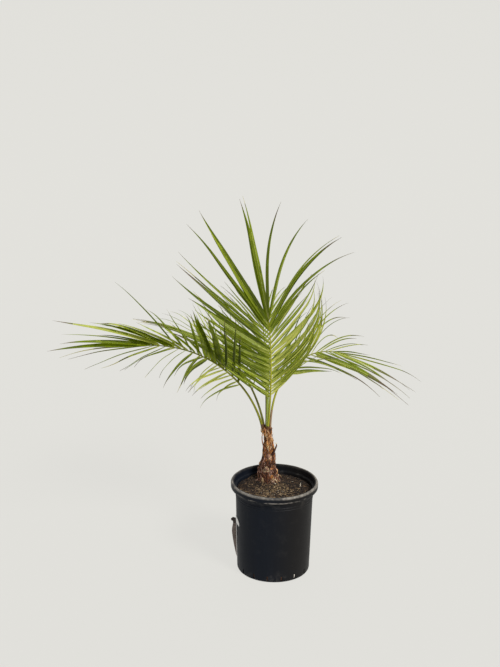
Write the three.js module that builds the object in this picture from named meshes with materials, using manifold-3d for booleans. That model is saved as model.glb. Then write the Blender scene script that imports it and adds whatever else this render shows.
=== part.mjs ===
// A young palm in a round nursery pot: five pinnate fronds and a spear on a short, shaggy trunk.
// Sizes are in millimetres. The pot stands on Z = 0 with its axis on Z; +X is the right-hand side
// and -Y is the front.

import * as THREE from "three";
import { mergeVertices } from "three/addons/utils/BufferGeometryUtils.js";
import Module from "manifold-3d";

const wasm = await Module();
wasm.setup();

const CLEARANCE = 0.3;
const WELD_DISTANCE = 1e-4;

// Pot: a thin tapered can with a turned-down rim and drain slots round its foot
const POT_SIDES = 36;
const POT_HEIGHT = 248;
const POT_RIM_RADIUS = 114.5;
const POT_FOOT_RADIUS = 96;
const POT_NECK_RADIUS = 101.3;
const POT_NECK_HEIGHT = 222;
const POT_WALL = 2.2;
const POT_FLOOR = 3;
const FOOT_CHAMFER = 5;
const INNER_FOOT_HEIGHT = 8;
const RIM_DEPTH = 15.6;
const RIM_BAND = 2.6;
const RIM_INSET = 6;
const RIM_STEP = 9;
const NECK_BEAD = 2.9;
const SLOT_COUNT = 16;
const SLOT_WIDTH = 4;
const SLOT_HEIGHT = 17;
const SLOT_DEPTH = 14;
const SLOT_FIRST_ANGLE = -31.5;

// Soil: fills the pot and rises to a low mound at the trunk
const SOIL_EDGE_HEIGHT = 223;
const SOIL_MOUND = 7;
const SOIL_MOUND_SPREAD = 40;
const SOIL_LUMP = 1.4;
const SOIL_RINGS = 5;

// Trunk: radius and centre by height, from the flat foot in the soil to the crown
const TRUNK_SIDES = 16;
const TRUNK_SECTIONS = [
  { height: 217, x: -17, y: 60, radius: 27 },
  { height: 226, x: -17, y: 60, radius: 28.5 },
  { height: 238, x: -17.5, y: 60.4, radius: 28.5 },
  { height: 251, x: -18.5, y: 60.8, radius: 26.5 },
  { height: 263, x: -19, y: 61.2, radius: 23.5 },
  { height: 276, x: -18.5, y: 61.8, radius: 20 },
  { height: 291, x: -17, y: 62.4, radius: 17.2 },
  { height: 306, x: -16.5, y: 63, radius: 15.6 },
  { height: 324, x: -16.5, y: 63.6, radius: 13 },
  { height: 342, x: -18, y: 64.2, radius: 11.6 },
  { height: 357, x: -20, y: 64.8, radius: 12 },
  { height: 368, x: -22, y: 65, radius: 13 },
];
const TRUNK_RIPPLE = 0.05;
const LEAF_BASE_COUNT = 11;
const LEAF_BASE_FIRST = 240;
const LEAF_BASE_RISE = 10.4;
const LEAF_BASE_LENGTH = 22;
const LEAF_BASE_WIDTH = 13;
const LEAF_BASE_STAND = 5;
const LEAF_BASE_TURN = 20;
const GOLDEN_ANGLE = 137.5;

// Torn strip and pale patch on the left-hand side of the pot: the strip's outline as distance off
// the wall and height, the patch's edges at angles round the wall
const STRIP_THICKNESS = 1.6;
const STRIP_OUTLINE = [
  [0.3, 26], [5, 45], [8, 63], [10.5, 80], [12.5, 96], [12.5, 106], [9.5, 119],
  [8.5, 129], [14.5, 132], [14.5, 139], [9, 143], [3.5, 145], [1.5, 136], [0.3, 120],
];
const PATCH_THICKNESS = 1;
const PATCH_COLUMNS = [
  { angle: 2, low: 136, high: 149 },
  { angle: 10, low: 135, high: 152 },
  { angle: 20, low: 134, high: 151 },
  { angle: 25, low: 134, high: 143 },
];

// Fronds: azimuth from +X, lean from the vertical at foot and tip with the power it grows by, sway
// and roll along the rib. The leaflets of a hand have their angle to the rib, lift out of its
// plane, reach, curl along it, droop and inward hook at LEAFLET_STATIONS; an odd leaflet adds an
// angle and a lift and scales the reach. Hands are as seen from the foot with the upper face up.
const CROWN = [-22.5, 65, 368.3];
const RIB_STEPS = 24;
const RIB_SECTIONS = 12;
const RIB_SIDES = 6;
const RIB_FOOT_RADIUS = 3.6;
const RIB_NECK_RADIUS = 2.9;
const RIB_TIP_RADIUS = 1.2;
const LEAFLET_STATIONS = [0, 0.4, 0.75, 1];
const LEAFLET_STEPS = 12;
const LEAFLET_CUTS = [0, 3, 6, 9];
const LEAFLET_WIDTH = 17;
const LEAFLET_NARROWEST = 0.55;
const LEAFLET_FULL_REACH = 330;
const LEAFLET_THICKNESS = 4.2;
const LEAFLET_THINNING = 0.35;
const LEAFLET_TILT = 40;
const LEAFLET_CROWDING = 1.35;
const LEAFLET_STAGGER = 0.35;

// The leaflet's outline rises from its foot by one power and runs out to its tip by the other;
// the swell makes the half width 1 at the widest place
const OUTLINE_FOOT = 0.02;
const OUTLINE_RISE = 0.45;
const OUTLINE_RUNOUT = 0.75;
const OUTLINE_SWELL = 2.15;

// How far each leaflet strays: degrees for its angle and lift, shares for the rest
const STRAY = { angle: 2, lift: 2, reach: 0.05, droop: 0.25, width: 0.1 };
const STRAY_SEED = { angle: 0, lift: 3, reach: 7, width: 9, droop: 11 };

const USUAL_LEAFLETS = {
  angle: [45, 45, 30, 8],
  lift: [10, 10, 10, 5],
  reach: [165, 195, 205, 190],
  curl: [0.3, 0.3, 0.1, 0],
  droop: [0.3, 0.3, 0.3, 0.3],
  hook: [0.1, 0.1, 0, 0],
  odd: {},
};
const SIDE_LEAFLETS = {
  ...USUAL_LEAFLETS,
  reach: [170, 210, 225, 215],
};

const FRONDS = [
  {
    name: "frond_front",
    azimuth: 286,
    offset: 7.5,
    length: 350,
    lean: [16, 21, 1.2],
    sway: -32,
    roll: [0, 0],
    petiole: 0.3,
    pairs: 18,
    seed: 1,
    right: {
      angle: [63, 76, 41, 4],
      lift: [25, 25, 5, 0],
      reach: [190, 235, 345, 335],
      curl: [0.35, 0.35, 0.15, 0],
      droop: [0.1, 0.1, 0.1, 0.05],
      hook: [0.2, 0.2, 0, 0],
      odd: {
        3: [0, 0, 0.95],
        5: [0, 0, 0.96],
        9: [6, 0, 1.13],
        10: [3, 0, 1.07],
        11: [1, 0, 1],
        12: [5, 0, 0.95],
        13: [-5, 0, 1.04],
        14: [-4, 0, 0.86],
        15: [5, 0, 1.02],
        16: [-8, 0, 1],
        17: [0, 0, 1.02],
      },
    },
    left: {
      angle: [41, 46, 33, 1],
      lift: [-5, -4, 0, 0],
      reach: [330, 284, 340, 335],
      curl: [0.3, 0.3, -0.5, -0.1],
      droop: [0.15, 0.15, 0.15, 0.1],
      hook: [0.9, 1, -0.1, -0.35],
      odd: {
        0: [-4, 0, 1.04],
        9: [-4, 0, 0.84],
        10: [-6, 0, 0.81],
        11: [-9, 0, 0.73],
        12: [-8, 0, 0.78],
        13: [-4, 0, 0.97],
        15: [6, 0, 1.05],
        16: [4, 0, 1],
        17: [2, 0, 1.02],
      },
    },
  },
  {
    name: "frond_left",
    azimuth: 200,
    offset: 11,
    length: 430,
    lean: [14, 86, 1],
    sway: 0,
    roll: [45, 35],
    petiole: 0.34,
    pairs: 16,
    seed: 2,
    right: {
      angle: [97, 95, 60, 12],
      lift: [0, 0, 0, 0],
      reach: [180, 190, 175, 225],
      curl: [0, -0.1, -0.1, 0],
      droop: [0.55, 0.55, 0.3, 0.3],
      hook: [0.3, 0.3, 0, 0],
      odd: {
        1: [-4, 0, 0.82],
        2: [-6, 0, 0.8],
        8: [0, 0, 0.8],
      },
    },
    left: {
      angle: [48, 52, 25, 6],
      lift: [10, 10, 14, 0],
      reach: [190, 190, 280, 245],
      curl: [0.2, 0.2, 0, -0.2],
      droop: [0.1, 0.1, 0.2, 0.2],
      hook: [0, 0, 0, 0],
      odd: {
        0: [-6, 0, 0.88],
        3: [-7, 0, 0.95],
        4: [-7, 0, 0.98],
        7: [0, 0, 0.9],
        8: [-2, 0, 0.92],
        9: [0, 20, 1.2],
        10: [-8, -4, 0.72],
        11: [0, 0, 0.8],
        12: [0, 0, 1.1],
        13: [4, 5, 0.65],
      },
    },
  },
  {
    name: "frond_right",
    azimuth: 15,
    offset: 9,
    length: 312,
    lean: [2, 108, 1.6],
    sway: 0,
    roll: [0, 0],
    petiole: 0.4,
    pairs: 15,
    seed: 5,
    right: {
      angle: [60, 85, 62, 16],
      lift: [5, 5, -5, -5],
      reach: [170, 290, 275, 215],
      curl: [0.15, 0.15, 0.15, 0],
      droop: [0.3, 0.6, 0.5, 0.5],
      hook: [0.3, 0.6, 0.3, 0],
      odd: {
        0: [-25, -10, 0.7],
        1: [-20, -8, 0.8],
        4: [-14, 0, 0.78],
        5: [-10, 0, 0.8],
        6: [-6, -4, 1.14],
        7: [-4, 0, 1.08],
        8: [0, -2, 1.08],
        9: [0, -2, 1.06],
        12: [6, 0, 0.93],
        13: [5, 0, 0.97],
      },
    },
    left: {
      angle: [30, 50, 35, 5],
      lift: [10, 0, 5, 0],
      reach: [225, 295, 150, 268],
      curl: [0.3, 0.1, 0, 0],
      droop: [0.3, 0.65, 0.35, 0.2],
      hook: [0.3, 0.5, 0.1, 0],
      odd: {
        3: [-2, 0, 1.06],
        7: [8, 0, 0.86],
        9: [6, 0, 0.92],
        12: [4, 0, 0.72],
      },
    },
  },
  {
    name: "frond_back",
    azimuth: 95,
    offset: 9,
    length: 320,
    lean: [10, 70, 1.2],
    sway: 0,
    roll: [0, 0],
    petiole: 0.33,
    pairs: 16,
    seed: 4,
    right: USUAL_LEAFLETS,
    left: USUAL_LEAFLETS,
  },
  {
    name: "frond_left_back",
    azimuth: 142,
    offset: 9,
    length: 310,
    lean: [12, 80, 1],
    sway: 0,
    roll: [0, 0],
    petiole: 0.34,
    pairs: 16,
    seed: 3,
    right: SIDE_LEAFLETS,
    left: SIDE_LEAFLETS,
  },
];

// Spear: the youngest frond, still folded, upright in the middle of the crown
const SPEAR_HEIGHT = 235;
const SPEAR_LEAN = [4, 9];
const SPEAR_RADIUS = 2.6;
const SPEAR_BELLY_RADIUS = 4.2;
const SPEAR_SECTIONS = 7;
const SPEAR_SIDES = 6;

const radians = THREE.MathUtils.degToRad;
const mix = THREE.MathUtils.lerp;
const UP = new THREE.Vector3(0, 0, 1);

// A fixed number between -1 and 1 for a seed and an index
function scatter(seed, index) {
  const value = Math.sin(seed * 12.9898 + index * 78.233) * 43758.5453;
  return 2 * (value - Math.floor(value)) - 1;
}

// A value at share u of the leaflets, read from its list of stations
function station(values, u) {
  let i = 0;
  while (i < LEAFLET_STATIONS.length - 2 && u > LEAFLET_STATIONS[i + 1]) i += 1;
  const share = (u - LEAFLET_STATIONS[i]) / (LEAFLET_STATIONS[i + 1] - LEAFLET_STATIONS[i]);
  return mix(values[i], values[i + 1], share);
}

function solidOf(geometry) {
  const plain = geometry.clone();
  plain.deleteAttribute("normal");
  plain.deleteAttribute("uv");
  const welded = mergeVertices(plain, WELD_DISTANCE);
  const mesh = new wasm.Mesh({
    numProp: 3,
    vertProperties: Float32Array.from(welded.attributes.position.array),
    triVerts: Uint32Array.from(welded.index.array),
  });
  return new wasm.Manifold(mesh);
}

function geometryOf(solid) {
  const mesh = solid.getMesh();
  const positions = new Float32Array((mesh.vertProperties.length / mesh.numProp) * 3);
  for (let i = 0; i < positions.length / 3; i += 1) {
    for (let axis = 0; axis < 3; axis += 1) {
      positions[i * 3 + axis] = mesh.vertProperties[i * mesh.numProp + axis];
    }
  }
  const geometry = new THREE.BufferGeometry();
  geometry.setAttribute("position", new THREE.BufferAttribute(positions, 3));
  geometry.setIndex(Array.from(mesh.triVerts));
  return geometry;
}

// A closed skin over rings of equal count, each end closed by a fan to a middle point
function skin(rings, firstPoint, lastPoint) {
  const count = rings[0].length;
  const points = rings.flat().concat([firstPoint, lastPoint]);
  const faces = [];
  for (let i = 0; i < rings.length - 1; i += 1) {
    for (let j = 0; j < count; j += 1) {
      const a = i * count + j;
      const b = i * count + ((j + 1) % count);
      faces.push(a, b, b + count, a, b + count, a + count);
    }
  }
  const first = rings.length * count;
  const lastRing = (rings.length - 1) * count;
  for (let j = 0; j < count; j += 1) {
    faces.push(first, (j + 1) % count, j);
    faces.push(first + 1, lastRing + j, lastRing + ((j + 1) % count));
  }
  const geometry = new THREE.BufferGeometry();
  const flat = points.flatMap((point) => point.toArray());
  geometry.setAttribute("position", new THREE.Float32BufferAttribute(flat, 3));
  geometry.setIndex(facingOut(points, faces));
  return geometry;
}

// The faces in their order, or turned over where the skin would face inwards
function facingOut(points, faces) {
  let volume = 0;
  const normal = new THREE.Vector3();
  for (let i = 0; i < faces.length; i += 3) {
    normal.crossVectors(points[faces[i + 1]], points[faces[i + 2]]);
    volume += points[faces[i]].dot(normal);
  }
  if (volume > 0) return faces;
  const turned = [];
  for (let i = 0; i < faces.length; i += 3) {
    turned.push(faces[i], faces[i + 2], faces[i + 1]);
  }
  return turned;
}

// A ring about the Z axis, its first point at the front
function levelRing(radius, height, count) {
  const ring = [];
  for (let i = 0; i < count; i += 1) {
    const angle = (2 * Math.PI * i) / count;
    ring.push(new THREE.Vector3(radius * Math.sin(angle), -radius * Math.cos(angle), height));
  }
  return ring;
}

function wallRadius(height) {
  return mix(POT_FOOT_RADIUS, POT_NECK_RADIUS, height / POT_NECK_HEIGHT);
}

function makePot() {
  const rim = POT_RIM_RADIUS;
  const top = POT_HEIGHT;
  const inner = POT_NECK_RADIUS - POT_WALL;
  const profile = [
    [0, 0],
    [POT_FOOT_RADIUS - FOOT_CHAMFER, 0],
    [POT_FOOT_RADIUS - FOOT_CHAMFER / 3, FOOT_CHAMFER / 3],
    [POT_FOOT_RADIUS, FOOT_CHAMFER],
    [POT_NECK_RADIUS, POT_NECK_HEIGHT],
    [POT_NECK_RADIUS + NECK_BEAD - 0.4, POT_NECK_HEIGHT + 2.5],
    [POT_NECK_RADIUS + NECK_BEAD, POT_NECK_HEIGHT + 6],
    [rim - RIM_INSET, top - RIM_DEPTH - 2],
    [rim - RIM_INSET, top - 4],
    [rim - RIM_BAND, top - 4],
    [rim - RIM_BAND, top - RIM_DEPTH],
    [rim - 0.5, top - RIM_DEPTH],
    [rim, top - 6],
    [rim - 1, top - 1.8],
    [rim - 3, top],
    [rim - 6.4, top],
    [rim - RIM_STEP + 0.6, top - 3.2],
    [rim - RIM_STEP, top - 15],
    [inner + 0.7, top - 17.5],
    [inner - 0.2, POT_NECK_HEIGHT],
    [POT_FOOT_RADIUS - POT_WALL, INNER_FOOT_HEIGHT],
    [POT_FOOT_RADIUS - POT_WALL - 2, POT_FLOOR],
    [0, POT_FLOOR],
  ];
  const lathe = new THREE.LatheGeometry(
    profile.map(([radius, height]) => new THREE.Vector2(radius, height)),
    POT_SIDES,
  );
  lathe.rotateX(Math.PI / 2);
  let pot = solidOf(lathe);
  for (let i = 0; i < SLOT_COUNT; i += 1) {
    const slot = new THREE.BoxGeometry(SLOT_WIDTH, SLOT_DEPTH, SLOT_HEIGHT);
    slot.translate(0, 2 - POT_FOOT_RADIUS, 1 + SLOT_HEIGHT / 2);
    slot.rotateZ(radians(SLOT_FIRST_ANGLE + (360 / SLOT_COUNT) * i));
    pot = pot.subtract(solidOf(slot));
  }
  return geometryOf(pot);
}

// The top of the soil: level at the wall, mounded at the trunk, with small lumps between
function soilHeight(x, y, lump) {
  const distance = Math.hypot(x - CROWN[0], y - CROWN[1]);
  const mound = Math.exp(-((distance / SOIL_MOUND_SPREAD) ** 2));
  return SOIL_EDGE_HEIGHT + SOIL_MOUND * mound + SOIL_LUMP * lump;
}

function makeSoil() {
  const innerFoot = POT_FOOT_RADIUS - POT_WALL - CLEARANCE;
  const innerNeck = POT_NECK_RADIUS - POT_WALL - 0.2 - CLEARANCE;
  const rise = (SOIL_EDGE_HEIGHT - INNER_FOOT_HEIGHT) / (POT_NECK_HEIGHT - INNER_FOOT_HEIGHT);
  const edge = mix(innerFoot, innerNeck, rise) - 0.2;
  const rings = [
    levelRing(innerFoot - 2.4, POT_FLOOR + CLEARANCE, POT_SIDES),
    levelRing(innerFoot, INNER_FOOT_HEIGHT + 0.6, POT_SIDES),
    levelRing(edge, SOIL_EDGE_HEIGHT, POT_SIDES),
  ];
  for (let i = 1; i < SOIL_RINGS; i += 1) {
    const ring = levelRing(edge * (1 - i / SOIL_RINGS), 0, POT_SIDES);
    ring.forEach((point, j) => {
      point.z = soilHeight(point.x, point.y, scatter(11 + i, j));
    });
    rings.push(ring);
  }
  const middle = new THREE.Vector3(0, 0, soilHeight(0, 0, 0));
  const floor = new THREE.Vector3(0, 0, POT_FLOOR + CLEARANCE);
  const soil = solidOf(skin(rings, floor, middle));
  return geometryOf(largestBody(soil.subtract(trunkCore(CLEARANCE))));
}

// The trunk without its leaf bases, grown by the clearance for the hollow it stands in
function trunkCore(growth) {
  const rings = TRUNK_SECTIONS.map((section, i) => {
    const ring = [];
    for (let j = 0; j < TRUNK_SIDES; j += 1) {
      const angle = (2 * Math.PI * j) / TRUNK_SIDES;
      const ripple = i < 2 ? 0 : TRUNK_RIPPLE * scatter(31 + i, j);
      const radius = section.radius * (1 + ripple) + growth;
      const height = section.height - (i === 0 ? growth : 0);
      ring.push(new THREE.Vector3(
        section.x + radius * Math.cos(angle),
        section.y + radius * Math.sin(angle),
        height,
      ));
    }
    return ring;
  });
  const foot = TRUNK_SECTIONS[0];
  const head = TRUNK_SECTIONS[TRUNK_SECTIONS.length - 1];
  return solidOf(skin(
    rings,
    new THREE.Vector3(foot.x, foot.y, foot.height - growth),
    new THREE.Vector3(head.x, head.y, head.height),
  ));
}

function trunkAt(height) {
  let i = 0;
  while (i < TRUNK_SECTIONS.length - 2 && height > TRUNK_SECTIONS[i + 1].height) i += 1;
  const low = TRUNK_SECTIONS[i];
  const high = TRUNK_SECTIONS[i + 1];
  const share = (height - low.height) / (high.height - low.height);
  return {
    x: mix(low.x, high.x, share),
    y: mix(low.y, high.y, share),
    radius: mix(low.radius, high.radius, share),
  };
}

// The stub of an old leaf base: a scale that leaves the bark at a height and leans off it
function leafBase(height, angle) {
  const out = new THREE.Vector3(Math.cos(angle), Math.sin(angle), 0);
  const across = new THREE.Vector3(-out.y, out.x, 0);
  const at = trunkAt(height);
  const above = trunkAt(height + LEAF_BASE_LENGTH);
  const half = (LEAF_BASE_WIDTH / 2) * (at.radius / 20 + 0.35);
  const from = (off, side, lift) => new THREE.Vector3(at.x, at.y, height + lift)
    .addScaledVector(out, off)
    .addScaledVector(across, side);
  const ring = [
    from(at.radius * 0.9, -half, 0),
    from(at.radius * 0.9 + 3.5, 0, -3),
    from(at.radius * 0.9, half, 0),
    from(at.radius * 0.55, 0, 9),
  ];
  const tip = new THREE.Vector3(above.x, above.y, height + LEAF_BASE_LENGTH)
    .addScaledVector(out, above.radius + LEAF_BASE_STAND);
  return solidOf(skin([ring], from(at.radius * 0.9, 0, -3), tip));
}

// The trunk with its old leaf bases, each a golden angle on from the last
function makeTrunk() {
  let trunk = trunkCore(0);
  for (let i = 0; i < LEAF_BASE_COUNT; i += 1) {
    const angle = radians(GOLDEN_ANGLE * i + LEAF_BASE_TURN);
    trunk = trunk.add(leafBase(LEAF_BASE_FIRST + LEAF_BASE_RISE * i, angle));
  }
  return geometryOf(largestBody(trunk));
}

// The course of a frond's rib: points and the frame at each of RIB_STEPS + 1 places
function ribCourse(frond) {
  const lean = (s) => radians(mix(frond.lean[0], frond.lean[1], s ** frond.lean[2]));
  const turn = (s) => radians(frond.azimuth + frond.sway * s);
  const course = [];
  const point = new THREE.Vector3(...CROWN);
  point.x += frond.offset * Math.cos(turn(0));
  point.y += frond.offset * Math.sin(turn(0));
  for (let i = 0; i <= RIB_STEPS; i += 1) {
    const s = i / RIB_STEPS;
    const outward = new THREE.Vector3(Math.cos(turn(s)), Math.sin(turn(s)), 0);
    const along = outward.clone().multiplyScalar(Math.sin(lean(s)))
      .addScaledVector(UP, Math.cos(lean(s)));
    const flatUp = outward.clone().multiplyScalar(-Math.cos(lean(s)))
      .addScaledVector(UP, Math.sin(lean(s)));
    const flatRight = new THREE.Vector3().crossVectors(along, flatUp);
    const roll = radians(mix(frond.roll[0], frond.roll[1], s));
    const up = flatUp.clone().multiplyScalar(Math.cos(roll))
      .addScaledVector(flatRight, Math.sin(roll));
    const right = flatRight.clone().multiplyScalar(Math.cos(roll))
      .addScaledVector(flatUp, -Math.sin(roll));
    course.push({ point: point.clone(), along, right, up });
    const middle = (i + 0.5) / RIB_STEPS;
    const step = frond.length / RIB_STEPS;
    point.x += step * Math.sin(lean(middle)) * Math.cos(turn(middle));
    point.y += step * Math.sin(lean(middle)) * Math.sin(turn(middle));
    point.z += step * Math.cos(lean(middle));
  }
  return course;
}

function alongCourse(course, s) {
  const place = Math.min(Math.max(s, 0), 1) * RIB_STEPS;
  const i = Math.min(Math.floor(place), RIB_STEPS - 1);
  const blend = (key) => course[i][key].clone().lerp(course[i + 1][key], place - i);
  return {
    point: blend("point"),
    along: blend("along").normalize(),
    right: blend("right").normalize(),
    up: blend("up").normalize(),
  };
}

function ribRadius(frond, s) {
  if (s < frond.petiole) return mix(RIB_FOOT_RADIUS, RIB_NECK_RADIUS, s / frond.petiole);
  return mix(RIB_NECK_RADIUS, RIB_TIP_RADIUS, (s - frond.petiole) / (1 - frond.petiole));
}

// The rib, from a level foot on the crown to its tip
function ribSolid(frond, course) {
  const rings = [];
  for (let i = 0; i <= RIB_SECTIONS; i += 1) {
    const s = i / RIB_SECTIONS;
    const { point, right, up } = alongCourse(course, s);
    if (i === 0) {
      right.setZ(0).normalize();
      up.copy(right).cross(UP).multiplyScalar(-1);
      if (up.dot(course[0].up) < 0) up.negate();
    }
    const radius = ribRadius(frond, s);
    const ring = [];
    for (let j = 0; j < RIB_SIDES; j += 1) {
      const angle = (2 * Math.PI * (j + 0.5)) / RIB_SIDES;
      ring.push(point.clone()
        .addScaledVector(right, radius * Math.cos(angle))
        .addScaledVector(up, radius * Math.sin(angle)));
    }
    rings.push(ring);
  }
  return solidOf(skin(rings, course[0].point, course[RIB_STEPS].point));
}

// Where leaflet k of a hand leaves the rib, closer together towards the tip
function leafletPlace(frond, k, hand) {
  const u = k / (frond.pairs - 1);
  const stagger = hand < 0 ? (LEAFLET_STAGGER / frond.pairs) * (1 - u) : 0;
  return mix(frond.petiole, 1, 1 - (1 - u - stagger) ** LEAFLET_CROWDING);
}

// Half the leaflet's width as a share of its widest place
function leafletOutline(t) {
  return OUTLINE_SWELL * (t + OUTLINE_FOOT) ** OUTLINE_RISE * (1 - t) ** OUTLINE_RUNOUT;
}

// The course of one leaflet's midrib, with the blade's cross direction at each step
function leafletCourse(frond, course, k, hand) {
  const sizes = hand > 0 ? frond.right : frond.left;
  const u = k / (frond.pairs - 1);
  const index = 2 * k + (hand > 0 ? 0 : 1);
  const stray = (trait) => STRAY[trait] * scatter(frond.seed + STRAY_SEED[trait], index);
  const [oddAngle, oddLift, oddReach] = sizes.odd[k] ?? [0, 0, 1];
  const at = alongCourse(course, leafletPlace(frond, k, hand));
  const angle = radians(station(sizes.angle, u) + oddAngle + stray("angle"));
  const lift = radians(station(sizes.lift, u) + oddLift + stray("lift"));
  const reach = station(sizes.reach, u) * oddReach * (1 + stray("reach"));
  const curl = station(sizes.curl, u);
  const droop = station(sizes.droop, u) * (1 + stray("droop"));
  const hook = station(sizes.hook, u);
  const start = at.along.clone().multiplyScalar(Math.cos(angle))
    .addScaledVector(at.right, Math.sin(angle) * Math.cos(lift) * hand)
    .addScaledVector(at.up, Math.sin(angle) * Math.sin(lift));
  const heading = (t) => start.clone()
    .addScaledVector(at.along, curl * t)
    .addScaledVector(UP, -droop * t * t)
    .addScaledVector(at.right, -hook * t * t * hand)
    .normalize();
  const inBlade = at.along.clone().addScaledVector(start, -at.along.dot(start)).normalize();
  const offBlade = new THREE.Vector3().crossVectors(start, inBlade).multiplyScalar(hand);
  offBlade.normalize();
  const tilt = radians(LEAFLET_TILT);
  const cross = inBlade.multiplyScalar(Math.cos(tilt)).addScaledVector(offBlade, Math.sin(tilt));
  const fullness = Math.min(1, mix(LEAFLET_NARROWEST, 1, reach / LEAFLET_FULL_REACH));
  const width = LEAFLET_WIDTH * fullness * (1 + stray("width"));
  const steps = [];
  const point = at.point.clone();
  for (let i = 0; i <= LEAFLET_STEPS; i += 1) {
    const along = heading(i / LEAFLET_STEPS);
    const across = cross.clone().addScaledVector(along, -cross.dot(along)).normalize();
    const normal = new THREE.Vector3().crossVectors(along, across).multiplyScalar(hand);
    steps.push({ point: point.clone(), across, normal });
    point.addScaledVector(heading((i + 0.5) / LEAFLET_STEPS), reach / LEAFLET_STEPS);
  }
  return { steps, width };
}

// One leaflet: a blade of triangular section, keeled along its midrib, ending in a fine point
function leafletSolid(frond, course, k, hand) {
  const { steps, width } = leafletCourse(frond, course, k, hand);
  const rings = LEAFLET_CUTS.map((i) => {
    const t = i / LEAFLET_STEPS;
    const { point, across, normal } = steps[i];
    const half = (width / 2) * leafletOutline(t);
    return [
      point.clone().addScaledVector(across, -half),
      point.clone().addScaledVector(across, half),
      point.clone().addScaledVector(normal, LEAFLET_THICKNESS * (1 - LEAFLET_THINNING * t)),
    ];
  });
  const middle = rings[0][0].clone().add(rings[0][1]).add(rings[0][2]).divideScalar(3);
  return solidOf(skin(rings, middle, steps[LEAFLET_STEPS].point));
}

// The largest body of a solid: sealed hollows are filled and loose scraps dropped
function largestBody(solid) {
  return solid.decompose().reduce((best, body) => (body.volume() > best.volume() ? body : best));
}

function makeFrond(frond) {
  const course = ribCourse(frond);
  let solid = ribSolid(frond, course);
  for (let k = 0; k < frond.pairs; k += 1) {
    solid = solid.add(leafletSolid(frond, course, k, 1));
    solid = solid.add(leafletSolid(frond, course, k, -1));
  }
  return geometryOf(largestBody(solid));
}

function makeSpear() {
  const rings = [];
  const point = new THREE.Vector3(...CROWN);
  const foot = point.clone();
  for (let i = 0; i < SPEAR_SECTIONS; i += 1) {
    const s = i / SPEAR_SECTIONS;
    const belly = Math.sin(Math.PI * Math.min(1, s * 1.1));
    const radius = mix(SPEAR_RADIUS * (1 - 0.6 * s), SPEAR_BELLY_RADIUS, belly * 0.6);
    const ring = [];
    for (let j = 0; j < SPEAR_SIDES; j += 1) {
      const angle = (2 * Math.PI * j) / SPEAR_SIDES;
      ring.push(new THREE.Vector3(
        point.x + radius * Math.cos(angle),
        point.y + radius * 0.6 * Math.sin(angle),
        point.z,
      ));
    }
    rings.push(ring);
    point.x += SPEAR_LEAN[0] / SPEAR_SECTIONS;
    point.y += (SPEAR_LEAN[1] * (2 * s)) / SPEAR_SECTIONS;
    point.z += SPEAR_HEIGHT / SPEAR_SECTIONS;
  }
  return skin(rings, foot, point);
}

function makeStrip() {
  const outline = STRIP_OUTLINE.map(([off, height]) => (
    new THREE.Vector2(wallRadius(height) + off, height)
  ));
  const strip = new THREE.ExtrudeGeometry(new THREE.Shape(outline), {
    depth: STRIP_THICKNESS,
    bevelEnabled: false,
  });
  strip.translate(0, 0, -STRIP_THICKNESS / 2);
  strip.rotateX(Math.PI / 2);
  strip.rotateZ(Math.PI);
  return geometryOf(solidOf(strip));
}

// A thin pale patch that follows the wall
function makePatch() {
  const rings = PATCH_COLUMNS.map(({ angle, low, high }) => {
    const around = radians(180 + angle);
    const corner = (height, off) => {
      const radius = wallRadius(height) + CLEARANCE + off;
      return new THREE.Vector3(radius * Math.cos(around), radius * Math.sin(around), height);
    };
    return [
      corner(low, 0),
      corner(high, 0),
      corner(high, PATCH_THICKNESS),
      corner(low, PATCH_THICKNESS),
    ];
  });
  const middle = (ring) => ring[0].clone().add(ring[2]).divideScalar(2);
  return skin(rings, middle(rings[0]), middle(rings[rings.length - 1]));
}

function part(name, geometry, color, roughness) {
  geometry.computeVertexNormals();
  const material = new THREE.MeshStandardMaterial({ color, roughness, metalness: 0 });
  const mesh = new THREE.Mesh(geometry, material);
  mesh.name = name;
  return mesh;
}

const palm = new THREE.Group();
palm.name = "potted_palm";
palm.add(part("pot", makePot(), 0x15181b, 0.45));
palm.add(part("soil", makeSoil(), 0x3a2c21, 0.95));
palm.add(part("trunk", makeTrunk(), 0x7a4a2a, 0.9));
palm.add(part("side_strip", makeStrip(), 0x4d4340, 0.8));
palm.add(part("side_patch", makePatch(), 0xe6e4de, 0.8));
palm.add(part("spear", makeSpear(), 0x8ba03a, 0.5));
for (const frond of FRONDS) {
  palm.add(part(frond.name, makeFrond(frond), 0x5f7f22, 0.5));
}

export default palm;
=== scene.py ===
"""A young feather palm in a nursery pot, dressed over its plain solids: fine leaflets on grooved
ribs, a shaggy trunk, crumbly soil and a scuffed pot, on a pale studio floor."""

import math

import bmesh
import bpy
import numpy as np
from bpy.props import FloatProperty, FloatVectorProperty, IntProperty, PointerProperty
from mathutils import Matrix, Vector, noise


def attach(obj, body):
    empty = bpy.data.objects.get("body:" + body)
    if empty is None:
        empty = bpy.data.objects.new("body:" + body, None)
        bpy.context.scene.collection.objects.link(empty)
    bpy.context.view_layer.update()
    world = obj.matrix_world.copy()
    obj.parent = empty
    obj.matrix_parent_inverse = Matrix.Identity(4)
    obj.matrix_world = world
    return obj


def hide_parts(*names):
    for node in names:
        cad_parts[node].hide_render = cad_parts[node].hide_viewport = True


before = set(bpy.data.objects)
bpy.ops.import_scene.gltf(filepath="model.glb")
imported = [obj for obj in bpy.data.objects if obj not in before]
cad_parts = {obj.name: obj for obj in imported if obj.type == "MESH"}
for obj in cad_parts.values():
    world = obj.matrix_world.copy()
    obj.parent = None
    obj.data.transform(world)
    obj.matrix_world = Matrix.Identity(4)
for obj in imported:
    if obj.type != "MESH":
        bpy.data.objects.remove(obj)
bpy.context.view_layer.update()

bl_info = {
    "name": "Potted feather palm",
    "version": (1, 0, 0),
    "blender": (4, 5, 0),
    "location": "3D View > Sidebar > Palm",
    "description": "Builds the fine pieces and finishes of a potted feather palm",
    "category": "Add Mesh",
}

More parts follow.
